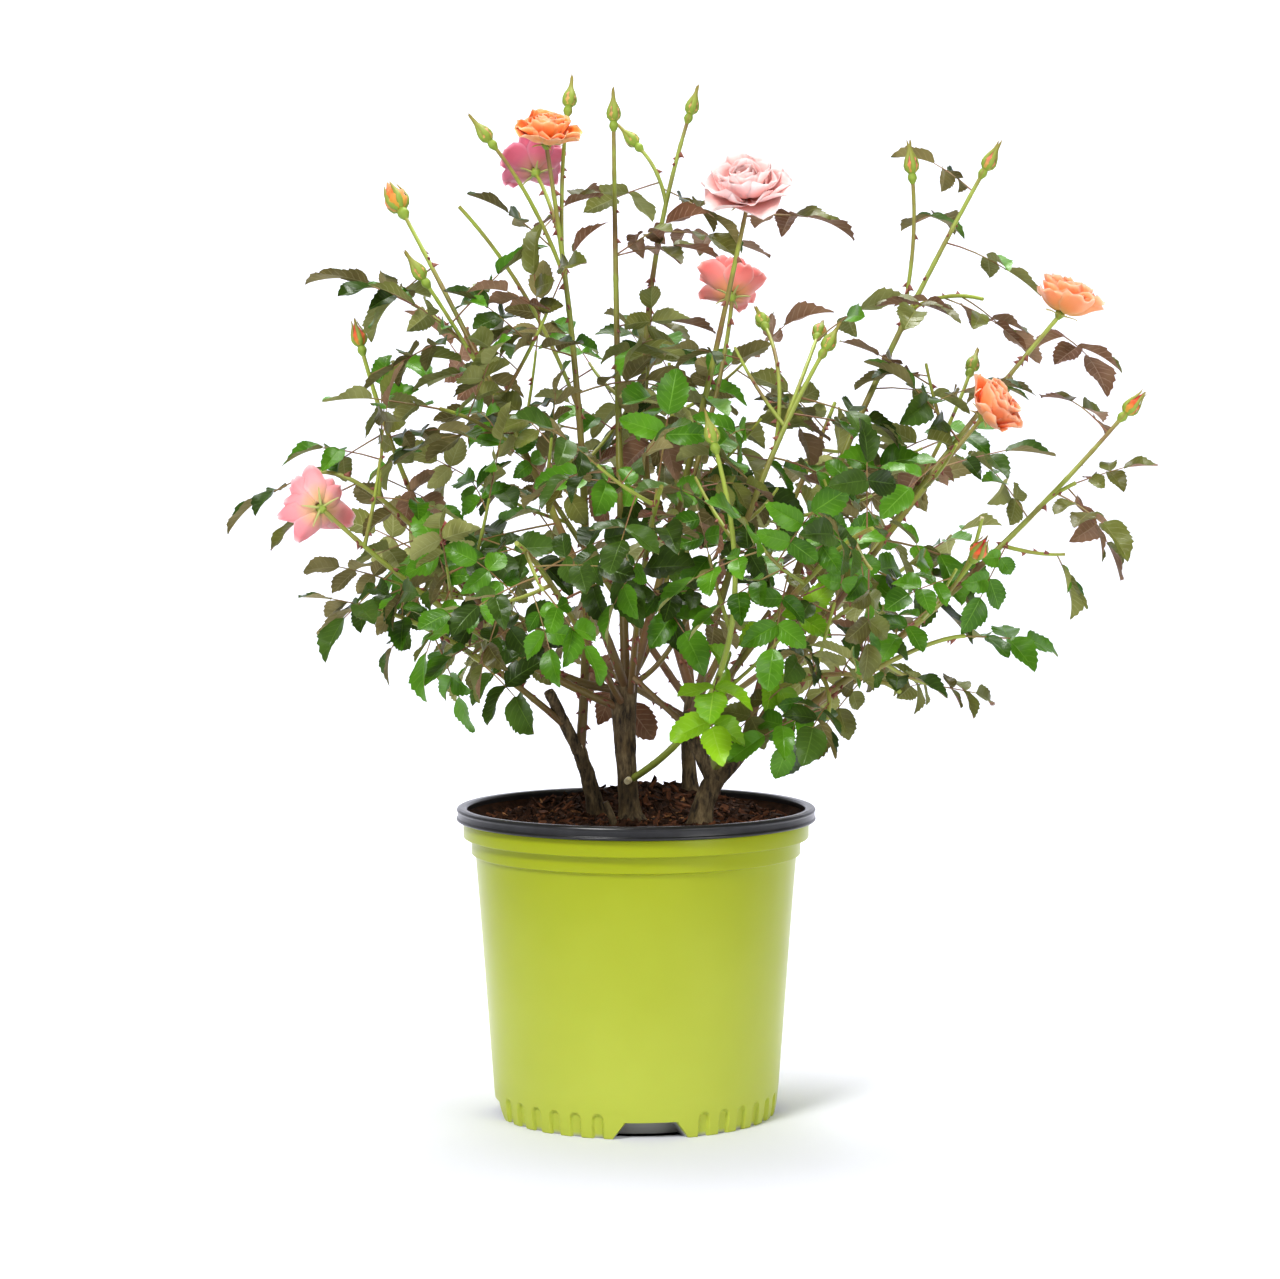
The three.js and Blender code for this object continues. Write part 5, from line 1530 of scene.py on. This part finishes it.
caneFinish = caneSkin()
woodPiece = newPiece("trunk_bark", trunkHeap, [oldBarkSkin()])
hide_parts(*[limb["name"] for limb in trunks + arms])
boughPiece = newPiece("bough_bark", boughHeap, [caneFinish])
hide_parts(*["bough_" + cane["name"] for cane in canes if cane["bare"] > 0])
stemPiece = newPiece("stems_and_twigs", stemHeap, [caneFinish])
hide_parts(*["mass_" + cane["name"] for cane in canes])
newPiece("leaf_stalks", stalkHeap, [plainSkin("flushedLeafStalk", "#8f7d45", "#865c40", 0.5, 22, 0.8, 0.2)])
newPiece("cut_ends", cutHeap, [plainSkin("freshCutWood", "#f2ead0", "#d2c496", 0.8, 6, 0.8, 0.3)])

# Each tone's leaves, in pieces of at most largestLeafPiece leaflets
largestLeafPiece = 1400
for tone, heap in leafPieces.items():
    leaflets = list(zip(heap.points, heap.maps, heap.ages))
    upper, lower, _ = sheetFaces(leafSizes["rows"], leafSizes["columns"])
    slots = [0] * len(upper) + [1] * len(lower)
    for part, first in enumerate(range(0, len(leaflets), largestLeafPiece)):
        share = Heap()
        for points, maps, tints in leaflets[first:first + largestLeafPiece]:
            share.add(points, upper + lower, maps, tints, slots=slots)
        newPiece(f"leaves_{tone}_{part + 1}", share, leafSkins[tone])
print("leaflets:", {tone: len(heap.points) for tone, heap in leafPieces.items()})

for colour, heap in petalHeaps.items():
    newPiece(f"petals_{colour}", heap, petalSkins[colour])
newPiece("stamens", stamenHeap, [plainSkin("pollenYellow", "#d9a429", "#b9781f", 0.7, 2, 0.6, 0.3)])
for colour, heap in budPetals.items():
    newPiece(f"bud_petals_{colour}", heap, [budSkins[colour]])
newPiece("sepals_and_hips", sepalHeap, [sepalSkin()])
print("blooms and buds made")

# The pot's top colour carries painted shade, its foot colour painted floor light, the grey painted shade
potPiece = newPiece("pot_shell", makePot(), [potSkin("#99a300", "#b8c24c", "#a8a8a6")], 38)
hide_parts("pot")
rimFinish = plainSkin("blackPolypropylene", "#1b1b1d", "#242426", 0.28, 12, 0.8, 0.08)
rimPiece = newPiece("pot_rim_roll", makeRim(), [rimFinish], 60)
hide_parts("pot_rim")
# Composted bark: nearly black crumbs with red-brown splinters on top
soilFinish = plainSkin("compostedBark", "#3a2416", "#24160d", 0.95, 7, 1.6, 1.0, {"Specular IOR Level": 0.1})
soilPiece = newPiece("potting_mix", makeSoil(), [soilFinish], 60)
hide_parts("soil")
print("pot, rim and potting mix made")

prickles = dict(density=6400, seed=11, smallest=0.8, largest=1.6, tilt=0.12, youngest=0.9)
prickles["finish"] = plainSkin("dryPrickle", "#7d4234", "#95604a", 0.5, 5, 1, 0.2)
prickles["shapes"] = shapeSet("prickleShapes", True, [prickleShape(4.2, 3.6), prickleShape(3.2, 2.8)])
for name, host in (("prickles_on_boughs", boughPiece), ("prickles_on_stems", stemPiece)):
    scattered(name, host, "runs", "green_cane", **prickles)

chips = dict(seed=4, tilt=0.5, above=226, within=121,
             kinds=(("dark", "#452b1b", "#2a190f", 26000, 0.5, 1.25),
                    ("rust", "#74492f", "#4e3122", 9000, 0.45, 1.3),
                    ("pale", "#a87a50", "#8a6040", 2600, 0.35, 0.95)),
             sizes=((9, 5, 1.6), (13, 4, 1.4), (7, 6, 2), (16, 2.4, 1.3), (5, 4, 2.4)))
chipDraw = dice(77)
soilSkin = topSkin(soilPiece, chips["above"] * mm, chips["within"] * mm)
chipShapes = shapeSet("chipShapes", False, [chipShape(chipDraw, *sizes) for sizes in chips["sizes"]])
for n, (kind, colour, other, density, smallest, largest) in enumerate(chips["kinds"]):
    finish = plainSkin(f"{kind}BarkChip", colour, other, 0.85, 5, 1.2, 0.6, {"Specular IOR Level": 0.2})
    scattered(f"bark_chips_{kind}", soilSkin, "normal", "potting_mix", density=density,
              seed=chips["seed"] + n, smallest=smallest, largest=largest, tilt=chips["tilt"],
              youngest=2.0, shapes=chipShapes, finish=finish)


# Floor, light and camera, in metres

floorSize = dict(half=6, rise=3, back=3.2, curve=1.4)


# A pale sweep: level floor that curves up behind the plant
def makeFloor():
    half, back, curve = floorSize["half"], floorSize["back"], floorSize["curve"]
    profile = [(-half, 0), (back, 0)]
    for i in range(1, 13):
        angle = math.pi / 2 * i / 12
        profile.append((back + curve * math.sin(angle), curve * (1 - math.cos(angle))))
    profile.append((profile[-1][0], floorSize["rise"] + curve))
    rows = len(profile)
    faces = [(i, i + rows, i + rows + 1, i + 1) for i in range(rows - 1)]
    mesh = bpy.data.meshes.new("floor")
    mesh.from_pydata([(x, y, z) for x in (-half, half) for y, z in profile], [], faces)
    mesh.polygons.foreach_set("use_smooth", [True] * len(faces))
    mesh.materials.append(Skin("mattWhiteSweep", {
        "Roughness": 0.9, "Base Color": linear("#f1f2fb"), "Specular IOR Level": 0.1}).material)
    floor = addObject("floor", mesh)


def addLamp(name, place, target, size, power):
    lamp = bpy.data.lights.new(name, "AREA")
    lamp.shape, lamp.size, lamp.energy = "DISK", size, power
    made = addObject(name, lamp)
    made.location = place
    made.rotation_euler = (Vector(target) - Vector(place)).to_track_quat("-Z", "Y").to_euler()


makeFloor()
scene = bpy.context.scene
scene.view_settings.view_transform = "Standard"
scene.view_settings.gamma = 0.9
scene.world = bpy.data.worlds.new("studio")
scene.world.use_nodes = True
sky = scene.world.node_tree.nodes["Background"].inputs
sky["Color"].default_value = linear("#ffffff")
sky["Strength"].default_value = 0.4
addLamp("keyLamp", (-1.2, -2.1, 2.3), (0, 0, 0.45), 0.9, 68)
addLamp("fillLamp", (2.0, -2.2, 0.9), (0, 0, 0.2), 1.6, 27)
addLamp("topLamp", (0.3, 0.5, 2.6), (0, 0, 0.4), 1.4, 38)
addLamp("sweepLamp", (0, 1.4, 3.2), (0, 4.2, 0.7), 2.4, 128)

# Camera: 0.526 m up and 2.477 m in front, looking down 3.61 degrees
view = dict(place=(0.003, -2.477, 0.526), down=3.61, focalPixels=3192, imageWidth=1280, sensor=36)
camera = bpy.data.cameras.new("camera")
camera.sensor_width = view["sensor"]
camera.sensor_fit = "HORIZONTAL"
camera.lens = view["focalPixels"] / view["imageWidth"] * view["sensor"]
camera.clip_end = 50
cameraObject = addObject("camera", camera)
cameraObject.location = view["place"]
cameraObject.rotation_euler = (math.radians(90 - view["down"]), 0, 0)
bpy.context.scene.camera = cameraObject
print("stage made")
